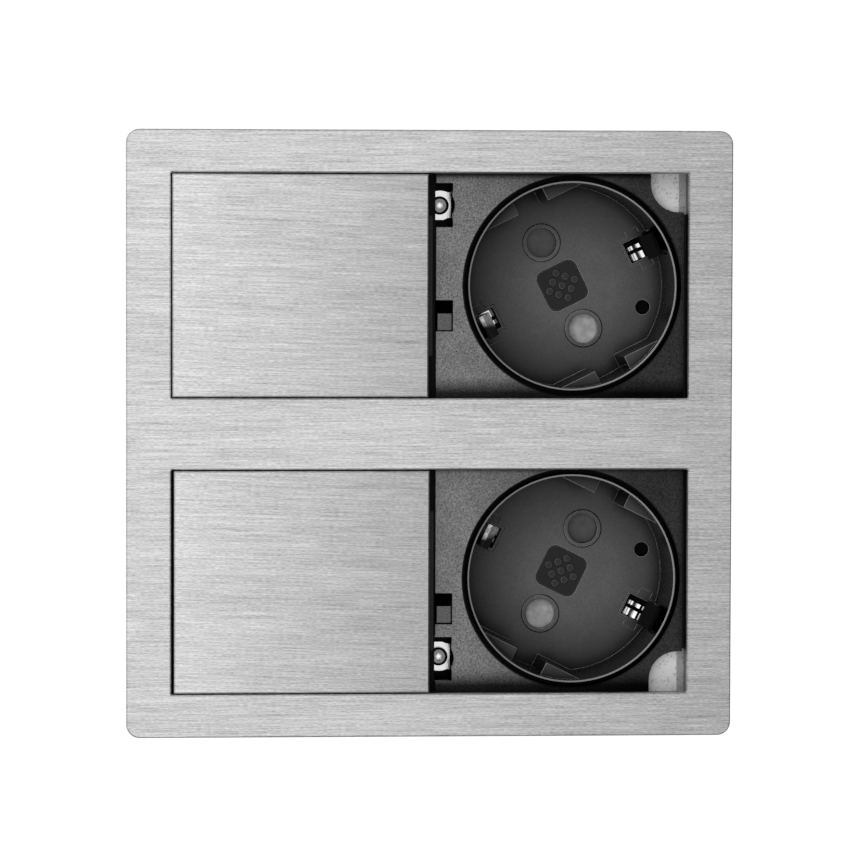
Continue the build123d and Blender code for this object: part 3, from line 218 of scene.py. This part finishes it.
class Finish(Shading):
    """A material with the places and patterns that the socket's finishes are made from."""

    def place(self):
        """Where a point is on the socket, in metres."""
        return self.node("ShaderNodeTexCoord", output="Object")

    def along(self, axis):
        """One coordinate of that place: X, Y or Z."""
        return self.node("ShaderNodeSeparateXYZ", {}, {"Vector": self.place()}, output=axis)

    def from_middle(self, axis):
        """How far a point lies from the socket's middle along X or Y, on either side."""
        return self.node("ShaderNodeMath", {"operation": "ABSOLUTE"}, {0: self.along(axis)})

    def fade(self, signal, start, end, low=0.0, high=1.0):
        """A slope from low at the start to high at the end, level on both sides of it."""
        values = {"Value": signal, "From Min": start, "From Max": end, "To Min": low, "To Max": high}
        return self.node("ShaderNodeMapRange", {}, values)

    def distance(self, x, y):
        """How far a point lies from a line along Z."""
        flat = self.node("ShaderNodeVectorMath", {"operation": "MULTIPLY"}, {0: self.place(), 1: (1, 1, 0)})
        return self.node("ShaderNodeVectorMath", {"operation": "DISTANCE"}, {0: flat, 1: (x, y, 0)}, output=1)

    def true_normal(self):
        return self.node("ShaderNodeNewGeometry", output="True Normal")

    def facing_up(self):
        """1 on faces that look up, 0 on walls."""
        return self.node("ShaderNodeSeparateXYZ", {}, {"Vector": self.true_normal()}, output="Z") > UP_LIMIT

    def stretched_place(self, lengths, turn=0.0):
        """The place divided by a length along each axis, so that 1 is one grain of that size."""
        scale = tuple(1.0 / length for length in lengths)
        turned = self.node("ShaderNodeMapping", {}, {"Vector": self.place(), "Rotation": (0.0, 0.0, turn)})
        return self.node("ShaderNodeMapping", {}, {"Vector": turned, "Scale": scale})

    def noise(self, lengths, detail=2.0, roughness=0.5, turn=0.0):
        """Noise with grains of these lengths along X, Y and Z."""
        values = {"Vector": self.stretched_place(lengths, turn), "Scale": 1.0}
        values.update({"Detail": detail, "Roughness": roughness})
        return self.node("ShaderNodeTexNoise", {}, values, output="Fac")

    def grain(self, size, detail=2.0, roughness=0.5):
        """Noise with the same grain in all directions."""
        return self.noise((size,) * 3, detail, roughness)

    def rounded_normal(self, radius):
        return self.node("ShaderNodeBevel", {"samples": BEVEL_SAMPLES}, {"Radius": radius})

    def sharp_edge(self, radius):
        """1 within a small radius of an edge, where a paler line is painted as a highlight."""
        values = {0: self.rounded_normal(radius), 1: self.true_normal()}
        return self.node("ShaderNodeVectorMath", {"operation": "DOT_PRODUCT"}, values, output=1) < EDGE_LIMIT

    def open_sky(self, reach):
        """1 in the open, and less near walls that stand within this reach."""
        values = {"Distance": reach}
        return self.node("ShaderNodeAmbientOcclusion", {"samples": SKY_SAMPLES}, values, output="AO")

    def ramp(self, signal, stops):
        return self.node("ShaderNodeValToRGB", {"stops": stops}, {"Fac": signal})

    def mixed(self, mask, first, second):
        values = {"Factor": mask, 6: first, 7: second}
        return self.node("ShaderNodeMix", {"data_type": "RGBA"}, values, output=2)

    def scaled(self, colour, factor):
        """A colour times a number, which Vector Math does and a Math node can't."""
        return self.node("ShaderNodeVectorMath", {"operation": "SCALE"}, {0: colour, "Scale": factor})

    def bump(self, height, distance, strength=1.0, edge=0.0):
        """Small relief. An edge above 0 also rounds the sharp edges, to catch the light."""
        values = {"Height": height, "Distance": distance, "Strength": strength}
        if edge:
            values["Normal"] = self.rounded_normal(edge)
        return self.node("ShaderNodeBump", {}, values)


slot_finish = {}
node_finish = {}

# %% [markdown]
# Brushed steel is the first thing the eye meets. The real sheet was drawn along an abrasive
# belt, which leaves fine scratches, all in one direction, of very different lengths. Noise
# stretched along X gives them: short specks, single scratches, bands and slow changes. The
# covers were brushed apart from the frame, so their grain is turned by a degree or two.
# They lean a little, and a painted shade darkens each towards its right edge.

# %% Brushed steel
# Each layer: its share, the lengths of its grain along X, Y and Z, its detail and roughness
STEEL_LAYERS = {
    "specks": (0.3, (0.9 * MM, 0.16 * MM, 2.0 * MM), 2.0, 0.6),
    "scratches": (0.42, (7.0 * MM, 0.14 * MM, 2.0 * MM), 4.0, 0.7),
    "bands": (0.2, (22.0 * MM, 0.45 * MM, 2.0 * MM), 3.0, 0.6),
    "slow changes": (0.08, (40.0 * MM, 3.5 * MM, 9.0 * MM), 2.0, 0.5),
}
STEEL_TONES = [(0.36, 0.3), (0.5, 0.7), (0.64, 1.1)]
STEEL_ROUGHNESS = 0.5
SCRATCH_DEPTH = 0.03 * MM
SCRATCH_STRENGTH = 0.35
# A painted shade on each cover: where its slope starts and ends, and its value on each side
COVER_PAINTED_SHADE = (-50 * MM, 0.0, 1.08, 0.76)
COVER_TURN = {"upper": math.radians(1.6), "lower": math.radians(1.9)}


def brushed_steel(name, turn=0.0, slope=None):
    steel = Finish(name, metallic=1.0)
    grain = 0.0
    for share, lengths, detail, roughness in STEEL_LAYERS.values():
        grain = grain + steel.noise(lengths, detail, roughness, turn) * share
    tone = steel.ramp(grain, STEEL_TONES)
    # Painted shade: the tone is scaled down along X.
    if slope:
        tone = steel.scaled(tone, steel.fade(steel.along("X"), *slope))
    return steel.feed(
        base_color=tone,
        roughness=STEEL_ROUGHNESS + (grain - 0.5) * 0.5,
        normal=steel.bump(grain, SCRATCH_DEPTH, SCRATCH_STRENGTH),
    )


slot_finish["brushed_face"] = brushed_steel("brushed_face")
for row, turn in COVER_TURN.items():
    node_finish[f"{row}_lid_plate"] = brushed_steel(f"{row}_cover_steel", turn, COVER_PAINTED_SHADE)
print("steels:", [material.name for material in (*slot_finish.values(), *node_finish.values())])

# %% [markdown]
# Most plastic pieces came from a mould with a fine spark-eroded texture. Fine noise gives
# their relief and roughness, and wide noise a slow change of tone. How much a piece mirrors
# is set for each. The contact bases get a darker copy that mirrors next to nothing: painted shade.

# %% Textured plastics
TEXTURED = {
    "matt_black": {"level": 0.004, "rough": 0.5, "mirror": 0.1},
    "dark_slide": {"level": 0.016, "rough": 0.45, "mirror": 0.2, "size": 0.4 * MM},
    "housing_black": {"level": 0.016, "rough": 0.5, "mirror": 0.4, "size": 0.35 * MM},
    "grey_block": {"level": 0.3, "rough": 0.45, "size": 0.35 * MM},
    "soft_seal": {"level": 0.02, "rough": 0.75, "size": 0.3 * MM, "depth": 0.03 * MM},
}
BASE_IN_SHADE = {"level": 0.003, "rough": 0.6, "mirror": 0.05}
CLOUD_SIZE = 6.0 * MM
DARKEST = 0.8
PALEST = 1.25


def textured_plastic(name, level, rough, size=0.22 * MM, depth=0.02 * MM, mirror=0.5):
    """Moulded plastic: its grey, its roughness, the size and depth of its grain, its mirroring."""
    plastic = Finish(name, metallic=0.0, specular_ior_level=mirror)
    grain = plastic.grain(size, 3.0, 0.6)
    cloud = plastic.grain(CLOUD_SIZE)
    return plastic.feed(
        base_color=plastic.mixed(cloud, grey(level * DARKEST), grey(level * PALEST)),
        roughness=rough + (grain - 0.5) * 0.35,
        normal=plastic.bump(grain, depth, 0.6),
    )


for name, look in TEXTURED.items():
    slot_finish[name] = textured_plastic(name, **look)
for well in wells:
    # Painted shade: a darker, barely mirroring copy of the plastic for the contact base.
    base_painted_shade = textured_plastic(f"{well.row}_base_painted_shade", **BASE_IN_SHADE)
    node_finish[f"{well.row}_contact_base"] = base_painted_shade
print("finishes so far:", len(slot_finish) + len(node_finish))

# %% [markdown]
# The black plate round each well gets a painted reflection of the lamp in its texture: grey
# at the left, fading to black at the right. A painted shade darkens it along its bottom edge,
# and a painted shadow lies in a narrow band under the frame at its top. A dark metal without
# colour holds its black better than a plastic does, because nothing but the tone says how much it mirrors.

# %% Black plates round the wells
PLATE_PAINTED_REFLECTION = (8 * MM, 40 * MM, 0.2, 0.042)
PLATE_BOTTOM_PAINTED_SHADE = (0.6 * MM, 3.6 * MM, 0.12, 1.0)
PLATE_TOP_PAINTED_SHADOW = (42.0 * MM, 42.9 * MM, 1.0, 0.15)
SPARK_SIZE = 0.3 * MM
PLATE_CLOUD_SIZE = 5.0 * MM
PLATE_ROUGHNESS = 0.4


def face_plate(well):
    plastic = Finish(f"{well.row}_plate_black", metallic=1.0)
    spark = plastic.grain(SPARK_SIZE, 3.0, 0.8)
    cloud = plastic.grain(PLATE_CLOUD_SIZE)
    height = plastic.along("Y") - well.window_bottom
    # Painted reflection that fades to the right, painted shade at the bottom, painted shadow at the top.
    across = plastic.fade(plastic.along("X"), *PLATE_PAINTED_REFLECTION)
    bottom = plastic.fade(height, *PLATE_BOTTOM_PAINTED_SHADE)
    top = plastic.fade(height, *PLATE_TOP_PAINTED_SHADOW)
    tone = across * bottom * top * (spark * 4.0 - 1.0) * (cloud * 0.5 + 0.75)
    return plastic.feed(base_color=tone, roughness=PLATE_ROUGHNESS + (spark - 0.5) * 0.3)


for well in wells:
    node_finish[f"{well.row}_socket_plate"] = face_plate(well)
print("plates:", [node_finish[f"{well.row}_socket_plate"].name for well in wells])

# %% [markdown]
# The cup of a well is one moulding with several looks: a matt floor with a painted pool of
# light that fades towards the walls and to the right, and painted shade in its corners; a
# polished wall that stays black; a painted highlight on the lip; fine grooves round the pin
# holes; and guide ribs with painted highlights along their edges. One material holds them all.
# Masks made from the distance to the axis, the height and the slope of the surface say which look is where.

# %% Cups of the wells
CUP_RADIUS = 19.95 * MM
LIP = (20.02 * MM, 20.35 * MM)
PIN_GROOVES = [(3.62 * MM, 3.86 * MM), (2.8 * MM, 3.02 * MM)]
LATCH_REACH = 22 * MM
LATCH_SPAN = 12 * MM
LATCH_TONE = 0.11
BELOW_FLOOR = 0.3 * MM
LIT_SPOT_SHIFT = 2.5 * MM
FLOOR_PAINTED_LIGHT = (8 * MM, 21.5 * MM, 1.1, 0.12)
FLOOR_PAINTED_SHADE = (-12 * MM, 14 * MM, 1.1, 0.8)
MARGIN_PAINTED_SHADE = (14 * MM, 21.5 * MM, 1.0, 0.4)
LIP_HIGHLIGHT_SLOPE = (-15 * MM, 15 * MM, 0.16, 0.27)
CORNER_REACH = 3 * MM
CORNER_SHADE = (0.45, 0.95, 0.3, 1.0)
EDGE_HIGHLIGHT_RADIUS = 0.22 * MM
EDGE_HIGHLIGHT_TONE = 0.32
FLOW_SIZE = 3.0 * MM
SPECK_SIZE = 0.3 * MM
GAP_BLACK = 0.003


def pin_grooves(plastic, well):
    """1 in the two rings round each pin hole."""
    grooves = 0.0
    for x, y in well.pins:
        reach = plastic.distance(x, y)
        for low, high in PIN_GROOVES:
            grooves = grooves + reach.within(low, high)
    return grooves


def cup_plastic(well):
    plastic = Finish(f"{well.row}_well_black", metallic=0.0)
    flow = plastic.grain(FLOW_SIZE, 3.0, 0.6)
    specks = plastic.grain(SPECK_SIZE, 2.0, 0.6)
    level = plastic.facing_up()
    reach = plastic.distance(*well.centre)
    rightward = plastic.along("X") - well.x
    above = plastic.along("Z") > well.floor - BELOW_FLOOR
    inside = level * (reach < CUP_RADIUS) * above
    lit = inside * (1 - pin_grooves(plastic, well))

    # Painted pool of light round a spot right of the axis, fading to the walls and to the right, with painted
    # shade in the corners.
    lit_spot = plastic.distance(well.x + LIT_SPOT_SHIFT, well.y)
    corner = plastic.fade(plastic.open_sky(CORNER_REACH), *CORNER_SHADE)
    mould = flow * 0.05 + specks * 0.14 + 0.04
    painted_light_falls = plastic.fade(lit_spot, *FLOOR_PAINTED_LIGHT) * plastic.fade(rightward, *FLOOR_PAINTED_SHADE)
    floor_tone = lit * corner * painted_light_falls * mould
    # Painted highlight along the edges of the ribs and the floor.
    edge_highlight_tone = plastic.sharp_edge(EDGE_HIGHLIGHT_RADIUS) * inside * EDGE_HIGHLIGHT_TONE

    # Painted highlight on the lip, paler towards the right.
    lip_highlight = reach.within(*LIP) * level * plastic.fade(rightward, *LIP_HIGHLIGHT_SLOPE)
    spark = plastic.grain(SPARK_SIZE, 3.0, 0.8)
    latch = level * (reach > LATCH_REACH) * plastic.along("Y").within(well.y - LATCH_SPAN, well.y)
    latch_tone = latch * (spark * 3.0 - 0.6) * LATCH_TONE
    # Painted shade: towards the margin and in corners the floor turns metallic over a near-black tone.
    return plastic.feed(
        base_color=floor_tone + edge_highlight_tone + lip_highlight + latch_tone + GAP_BLACK,
        metallic=1 - lit * corner * plastic.fade(lit_spot, *MARGIN_PAINTED_SHADE),
        roughness=lit * 0.2 + 0.22 + specks * 0.08,
        normal=plastic.bump(flow, 0.01 * MM, 0.3, 0.2 * MM),
    )


for well in wells:
    node_finish[f"{well.row}_socket_well"] = cup_plastic(well)
print("cups:", [node_finish[f"{well.row}_socket_well"].name for well in wells])

# %% [markdown]
# The square cap in the middle of a well is nearly black. Its nine round pips are a little
# paler than the face, a dark ring sets off each one, and a painted highlight runs along the
# edge of the cap, as along the ribs. The pips' places are worked out from their pitch and the cap's turn.

# %% Centre caps
PIP_PITCH = 1.95 * MM
PIP_RADIUS = 0.66 * MM
PIP_RING = 0.86 * MM
CAP_TURN = math.radians(45)
CAP_BLACK = 0.008
PIP_TONE = 0.022
CAP_EDGE = 0.2 * MM
CAP_EDGE_HIGHLIGHT = 0.16
CAP_SPECK_SIZE = 0.2 * MM


def cap_plastic(well):
    plastic = Finish(f"{well.row}_cap_black", metallic=0.0, specular_ior_level=0.3)
    specks = plastic.grain(CAP_SPECK_SIZE, 2.0, 0.6)
    turn = math.atan2(well.pin_line[1], well.pin_line[0]) + CAP_TURN
    pips = 0.0
    rings = 0.0
    for row in (-1, 0, 1):
        for column in (-1, 0, 1):
            x = well.x + PIP_PITCH * (column * math.cos(turn) - row * math.sin(turn))
            y = well.y + PIP_PITCH * (column * math.sin(turn) + row * math.cos(turn))
            reach = plastic.distance(x, y)
            pips = pips + (reach < PIP_RADIUS)
            rings = rings + reach.within(PIP_RADIUS, PIP_RING)
    # Painted highlight along the edge of the cap.
    edge_highlight = plastic.sharp_edge(CAP_EDGE)
    return plastic.feed(
        base_color=specks * 0.02 + CAP_BLACK + pips * PIP_TONE + edge_highlight * CAP_EDGE_HIGHLIGHT,
        metallic=rings,
        roughness=0.4 + specks * 0.2,
        normal=plastic.bump(specks, 0.01 * MM, 0.4, 0.15 * MM),
    )


for well in wells:
    node_finish[f"{well.row}_centre_cap"] = cap_plastic(well)
print("caps:", [node_finish[f"{well.row}_centre_cap"].name for well in wells])

# %% [markdown]
# A grey face shows in each pin hole: the shutter that keeps the contacts covered. Its two
# ramps lean apart, and the lamp they would mirror is painted in: the tone is a painted
# reflection, paler below the middle of the well and darker above it.

# %% Pin shutters
def shutter_plastic(well):
    plastic = Finish(f"{well.row}_shutter_grey", metallic=0.0)
    flow = plastic.grain(1.6 * MM)
    # Painted reflection: paler below the middle of the well.
    bright = plastic.along("Y") < well.y
    return plastic.feed(
        base_color=(flow * 0.5 + 0.12) * (bright * 1.4 + 0.25),
        roughness=0.3 + flow * 0.2,
        normal=plastic.bump(flow, 0.02 * MM, 0.5),
    )


for well in wells:
    node_finish[f"{well.row}_pin_shutter"] = shutter_plastic(well)
print("shutters:", [node_finish[f"{well.row}_pin_shutter"].name for well in wells])

# %% [markdown]
# The small metal parts are plated or turned, and nearly mirrors with a slight waviness: one
# function makes them all. The tray is galvanised sheet, whose zinc freezes in pale flakes
# with darker specks. Only its two corners are seen past the black plates. Its fold gets a painted
# half shade, what lies under the plates a painted shade, and its walls are painted darker than its faces that
# look up.

# %% Screws, springs, contacts and tray
TRAY_CORNER = (42.0 * MM, 42.5 * MM)
TRAY_FOLD = 49.2 * MM
TRAY_HIDDEN = (-50.5 * MM, 52.4 * MM)
ZINC_TONES = [(0.32, 0.5), (0.43, 0.95), (0.8, 1.0)]
BRASS = (0.72, 0.52, 0.25, 1.0)
WAVE_SIZE = 1.2 * MM
FLAKE_SIZE = 0.7 * MM
ZINC_SPECK = (0.25 * MM, 0.6 * MM, 0.4 * MM)
ZINC_TURN = 0.5
ZINC_RELIEF = 0.02 * MM


def bright_metal(name, colour, rough):
    metal = Finish(name, metallic=1.0)
    flow = metal.grain(WAVE_SIZE)
    dark = tuple(channel * 0.8 for channel in colour[:3]) + (1.0,)
    return metal.feed(
        base_color=metal.mixed(flow, dark, colour),
        roughness=rough + flow * 0.12,
        normal=metal.bump(flow, 0.02 * MM, 0.4),
    )


def galvanised_sheet(name):
    sheet = Finish(name, metallic=0.35)
    flake_place = {"Vector": sheet.stretched_place((FLAKE_SIZE,) * 3), "Scale": 1.0}
    flakes = sheet.node("ShaderNodeTexVoronoi", {}, flake_place, output="Color")
    shade = sheet.node("ShaderNodeSeparateColor", {}, {"Color": flakes})
    specks = sheet.noise(ZINC_SPECK, 3.0, 0.6, ZINC_TURN)
    x = sheet.along("X")
    row_y = sheet.from_middle("Y")
    # Painted shade: half on the fold, nearly black under the plates, darker on faces that don't look up.
    fold_painted_shade = (x > TRAY_FOLD) * 0.5
    corner = (x > TRAY_CORNER[0]) * (row_y > TRAY_CORNER[1])
    hidden_painted_shade = (1 - corner) * (x > TRAY_HIDDEN[0]) * (row_y < TRAY_HIDDEN[1])
    light = (sheet.facing_up() * 0.65 + 0.35) * (1 - fold_painted_shade) * (1 - hidden_painted_shade * 0.97)
    return sheet.feed(
        base_color=sheet.scaled(sheet.ramp(shade * 0.15 + specks * 0.85, ZINC_TONES), light),
        roughness=0.38 + specks * 0.25,
        normal=sheet.bump(specks, ZINC_RELIEF, 0.5),
    )


slot_finish["bright_screw"] = bright_metal("bright_screw", grey(0.7), 0.18)
slot_finish["spring_steel"] = bright_metal("spring_steel", grey(0.55), 0.3)
slot_finish["contact_brass"] = bright_metal("contact_brass", BRASS, 0.25)
slot_finish["plated_clip"] = bright_metal("plated_clip", grey(0.82), 0.12)
slot_finish["pressed_tray"] = galvanised_sheet("pressed_tray")
print("finishes of slots:", len(slot_finish))

# %% [markdown]
# Two bright pieces catch the eye because the lamp shows in one spot only, and that spot is
# painted. The screw of each saddle is a dome with a painted highlight on its crown and painted
# shade on its flanks. The earth strap is painted dark as shade but for a painted highlight on the tongue of
# its left clip. Rings and slopes of tone round those spots hold the look at every size of picture.

# %% Saddle screws and earth straps
CROWN_HIGHLIGHT = (0.2 * MM, 0.7 * MM, 0.95, 0.2)
FLANK_SHADE = (1.2 * MM, 1.8 * MM, 1.0, 0.35)
CLIP_REACH = 17.5 * MM
TONGUE_REACH = 4 * MM
TONGUE_HIGHLIGHT_EDGE = (-0.4 * MM, 0.9 * MM)


def domed_screw(well):
    metal = Finish(f"{well.row}_screw_steel", metallic=1.0)
    reach = metal.distance(*middle(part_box(f"{well.row}_saddle_screw")))
    flow = metal.grain(0.8 * MM)
    # Painted highlight on the crown and painted shade on the flanks.
    painted_dome_light = metal.fade(reach, *CROWN_HIGHLIGHT) * metal.fade(reach, *FLANK_SHADE)
    return metal.feed(base_color=painted_dome_light * (flow * 0.8 + 0.6), roughness=0.16 + flow * 0.12)


def strap_metal(well):
    metal = Finish(f"{well.row}_strap_steel", metallic=0.3, specular_ior_level=0.3)
    flow = metal.grain(0.8 * MM)
    left_clip = Vector(well.centre) + well.outward(-1) * CLIP_REACH
    # Painted highlight on the tongue of the left clip, painted shade elsewhere.
    tongue_highlight = metal.fade(metal.along("Y") - left_clip.y, *TONGUE_HIGHLIGHT_EDGE)
    lit = tongue_highlight * (metal.distance(*left_clip) < TONGUE_REACH)
    return metal.feed(base_color=lit * (flow * 3.0 - 0.4) + 0.008, roughness=0.25 + flow * 0.2)


for well in wells:
    node_finish[f"{well.row}_saddle_screw"] = domed_screw(well)
    node_finish[f"{well.row}_earth_strap"] = strap_metal(well)
print("finishes of single pieces:", len(node_finish))

# %% [markdown]
# Each piece of the socket belongs to a material slot. The finish of its slot is enough for
# most of them. A piece with a finish of its own takes that one.

# %% Give every piece its finish
slot_of_node = {part["node"]: part["material_slot"] for part in record["subparts"]}
for name, piece in nodes.items():
    material = node_finish[name] if name in node_finish else slot_finish[slot_of_node[name]]
    piece.data.materials.clear()
    piece.data.materials.append(material)
print("dressed:", len(nodes))

# %% [markdown]
# Two bent springs look out of slots in the floor of each well and touch the plug's earth
# contacts. A U-shaped plate lies in each slot round the spring, flush with the floor, so
# that only a fine groove shows its outline. Both are flat shapes given a thickness: the
# plate is drawn from above, and the spring from the side. A prism over an outline makes both.

# %% Prisms and bent strips
def extruded(name, outline, to_place, low, high, material):
    """A closed prism over an outline, from one level to another along its third axis."""
    count = len(outline)
    points = [to_place(a, b, low) for a, b in outline] + [to_place(a, b, high) for a, b in outline]
    sides = [(i, (i + 1) % count, (i + 1) % count + count, i + count) for i in range(count)]
    faces = [tuple(reversed(range(count))), tuple(range(count, 2 * count))] + sides
    mesh = bpy.data.meshes.new(name)
    mesh.from_pydata(points, [], faces)
    mesh.materials.append(material)
    shape = bmesh.new()
    shape.from_mesh(mesh)
    bmesh.ops.recalc_face_normals(shape, faces=shape.faces)
    shape.to_mesh(mesh)
    shape.free()
    piece = bpy.data.objects.new(name, mesh)
    bpy.context.collection.objects.link(piece)
    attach(piece, "housing")
    return piece


def strip_outline(line, thickness):
    """Both sides of a thin strip that follows a line."""
    left = []
    right = []
    for index, point in enumerate(line):
        before = line[max(index - 1, 0)]
        after = line[min(index + 1, len(line) - 1)]
        run = (after[0] - before[0], after[1] - before[1])
        length = math.hypot(*run)
        across = (-run[1] / length * thickness / 2, run[0] / length * thickness / 2)
        left.append((point[0] + across[0], point[1] + across[1]))
        right.append((point[0] - across[0], point[1] - across[1]))
    return left + right[::-1]


print("points of a straight strip:", len(strip_outline([(0, 0), (1, 0)], 0.1)))

# %% [markdown]
# The outlines are in millimetres from the well's axis. The right spring is wavy and shows
# its crests between the edges of its slot. The left one is flatter. Each is split into a
# wide and a narrow finger.

# %% Earth springs in their slots
SLOT_PLATE = [(14.02, -2.68), (15.82, -2.68), (15.82, -4.08), (18.28, -4.08), (18.28, -2.68), (20.3, -2.68)]
SLOT_PLATE += [(20.3, -2.3), (14.5, -2.3), (14.5, 2.1), (20.3, 2.1), (20.3, 2.68), (18.28, 2.68)]
SLOT_PLATE += [(18.28, 4.08), (15.82, 4.08), (15.82, 2.68), (14.02, 2.68)]
SLOT_PLATE_LEVELS = (-1.0, -0.04)
WAVY_LINE = [(14.6, -0.5), (15.1, -0.75), (15.6, -1.3), (16.1, -1.2), (16.5, -0.5), (16.9, 0.2), (17.4, 0.45)]
WAVY_LINE += [(17.9, 0.2), (18.3, -0.4), (18.8, -0.5), (19.2, -0.1), (19.4, 0.8), (19.3, 1.7)]
FLAT_LINE = [(14.6, -0.9), (14.9, -0.45), (15.4, -0.3), (17.6, -0.22), (18.4, -0.3)]
FLAT_LINE += [(18.9, -0.7), (19.2, -1.4)]
SPRING_SHEET = 0.22
SIDES = {"right": (1, WAVY_LINE), "left": (-1, FLAT_LINE)}
FINGERS = {"wide": (-2.1, -0.65), "narrow": (0.1, 0.9)}


class Slot:
    """One slot in a well's floor: outward from the axis, sideways from the clips' line, and up."""

    def __init__(self, well, hand):
        self.well = well
        self.outward = well.outward(hand)
        self.sideways = Vector((-self.outward.y, self.outward.x))

    def from_above(self, reach, offset, rise):
        spot = Vector(self.well.centre) + (self.outward * reach + self.sideways * offset) * MM
        return (spot.x, spot.y, self.well.floor + rise * MM)

    def from_side(self, reach, rise, offset):
        return self.from_above(reach, offset, rise)


spring_pieces = []
for well in wells:
    black = node_finish[f"{well.row}_socket_well"]
    for side, (hand, line) in SIDES.items():
        slot = Slot(well, hand)
        name = f"{well.row}_{side}_slot_plate"
        plate = extruded(name, SLOT_PLATE, slot.from_above, *SLOT_PLATE_LEVELS, black)
        for finger, (start, end) in FINGERS.items():
            name = f"{well.row}_{side}_{finger}_spring"
            outline = strip_outline(line, SPRING_SHEET)
            spring = extruded(name, outline, slot.from_side, start, end, slot_finish["plated_clip"])
            spring_pieces.append(name)
print("earth springs:", spring_pieces)

# %% [markdown]
# The floor is a big pale sheet just under the socket. The picture stands on plain white, so
# the camera sees the sheet as a white glow with a trace of real surface in it, while the
# socket is lit by the real surface. A Light Path node tells the two apart.

# %% Floor
FLOOR_HALF = 3.0
FLOOR_LEVEL = -0.1 * MM
FLOOR_GREY = 0.8
WHITE_SHARE = 0.97
WHITE_GLOW = 1.06


def white_for_camera(name):
    white = Finish(name, roughness=1.0, base_color=grey(FLOOR_GREY))
    seen = white.node("ShaderNodeLightPath", output="Is Camera Ray")
    glow = white.node("ShaderNodeEmission", {}, {"Color": grey(1.0), "Strength": WHITE_GLOW})
    surface = Signal(white, white.shader.outputs[0])
    mix = white.node("ShaderNodeMixShader", {}, {0: seen * WHITE_SHARE, 1: surface, 2: glow})
    white.connect(white.tree.nodes["Material Output"].inputs["Surface"], mix)
    return white.material


floor_mesh = bpy.data.meshes.new("floor")
floor_corners = [(x * FLOOR_HALF, y * FLOOR_HALF, 0.0) for x, y in ((-1, -1), (1, -1), (1, 1), (-1, 1))]
floor_mesh.from_pydata(floor_corners, [], [(0, 1, 2, 3)])
floor_mesh.materials.append(white_for_camera("floor_white"))
floor = bpy.data.objects.new("floor", floor_mesh)
floor.location.z = FLOOR_LEVEL
bpy.context.collection.objects.link(floor)
print("floor:", 2 * FLOOR_HALF, "m wide")

# %% [markdown]
# The picture was lit by one wide softbox close over the left half of the socket. Its right
# edge matters most: the steel and the black plates mirror the box at the left and look past
# it at the right, so both get darker that way.

# %% Softbox
FACE = cad_box[1].z
BOX_PLACE = (-0.255, 0.08, FACE + 0.35)
BOX_WIDTH = 0.74
BOX_LENGTH = 0.8
BOX_RADIANCE = 0.97


def softbox(name, place, width, length, radiance):
    """A rectangle of even brightness that faces down. A radiance of 1 mirrors as white."""
    data = bpy.data.lights.new(name, "AREA")
    data.shape = "RECTANGLE"
    data.size = width
    data.size_y = length
    data.energy = radiance * math.pi * width * length
    lamp = bpy.data.objects.new(name, data)
    lamp.location = place
    lamp.visible_camera = False
    bpy.context.collection.objects.link(lamp)
    return lamp


lamp = softbox("softbox", BOX_PLACE, BOX_WIDTH, BOX_LENGTH, BOX_RADIANCE)
print("softbox:", round(lamp.data.energy, 3), "W")

# %% [markdown]
# Pale walls stood round the real socket and kept its shadows open. A world that is brighter
# towards the upper left stands for them. It lights the sides of the frame and gives the
# polished walls of the wells something to mirror.

# %% World
WORLD_BRIGHT_SIDE = (-0.8, 0.6, 0.0)
WORLD_STRENGTH = {"To Min": 0.1, "To Max": 0.75}
world = bpy.data.worlds.new("studio")
bpy.context.scene.world = world
world.use_nodes = True
backdrop = world.node_tree.nodes["Background"]
backdrop.inputs["Color"].default_value = grey(1.0)
direction = world.node_tree.nodes.new("ShaderNodeTexCoord")
towards = world.node_tree.nodes.new("ShaderNodeVectorMath")
towards.operation = "DOT_PRODUCT"
towards.inputs[1].default_value = WORLD_BRIGHT_SIDE
strength = world.node_tree.nodes.new("ShaderNodeMapRange")
for socket, value in WORLD_STRENGTH.items():
    strength.inputs[socket].default_value = value
world.node_tree.links.new(direction.outputs["Generated"], towards.inputs[0])
world.node_tree.links.new(towards.outputs["Value"], strength.inputs["Value"])
world.node_tree.links.new(strength.outputs["Result"], backdrop.inputs["Strength"])
print("world strength:", tuple(WORLD_STRENGTH.values()))

# %% [markdown]
# The camera stood about 0.7 m above the face, a little left of the socket and above its
# middle: the floors of the wells appear pushed to the right. Its place comes from that shift.

# %% Camera
CAMERA_PLACE = Vector((-0.0535, 0.0316, FACE + 0.684))
AIM = Vector((-0.0162, 0.0069, FACE))
ROLL = math.radians(0.1)
LENS = 148.2
SHIFT = (0.1, -0.04)
SENSOR = 36.0
forward = (AIM - CAMERA_PLACE).normalized()
right = forward.cross(Vector((0.0, 1.0, 0.0))).normalized()
upright = Matrix((right, right.cross(forward), -forward)).transposed()
camera_data = bpy.data.cameras.new("camera")
camera_data.lens = LENS
camera_data.sensor_width = SENSOR
camera_data.shift_x, camera_data.shift_y = SHIFT
camera = bpy.data.objects.new("camera", camera_data)
turned = upright.to_4x4() @ Matrix.Rotation(ROLL, 4, "Z")
camera.matrix_world = Matrix.Translation(CAMERA_PLACE) @ turned
bpy.context.collection.objects.link(camera)
bpy.context.scene.camera = camera
bpy.context.scene.view_settings.view_transform = "Standard"
print("camera at", tuple(round(value, 4) for value in camera.location))
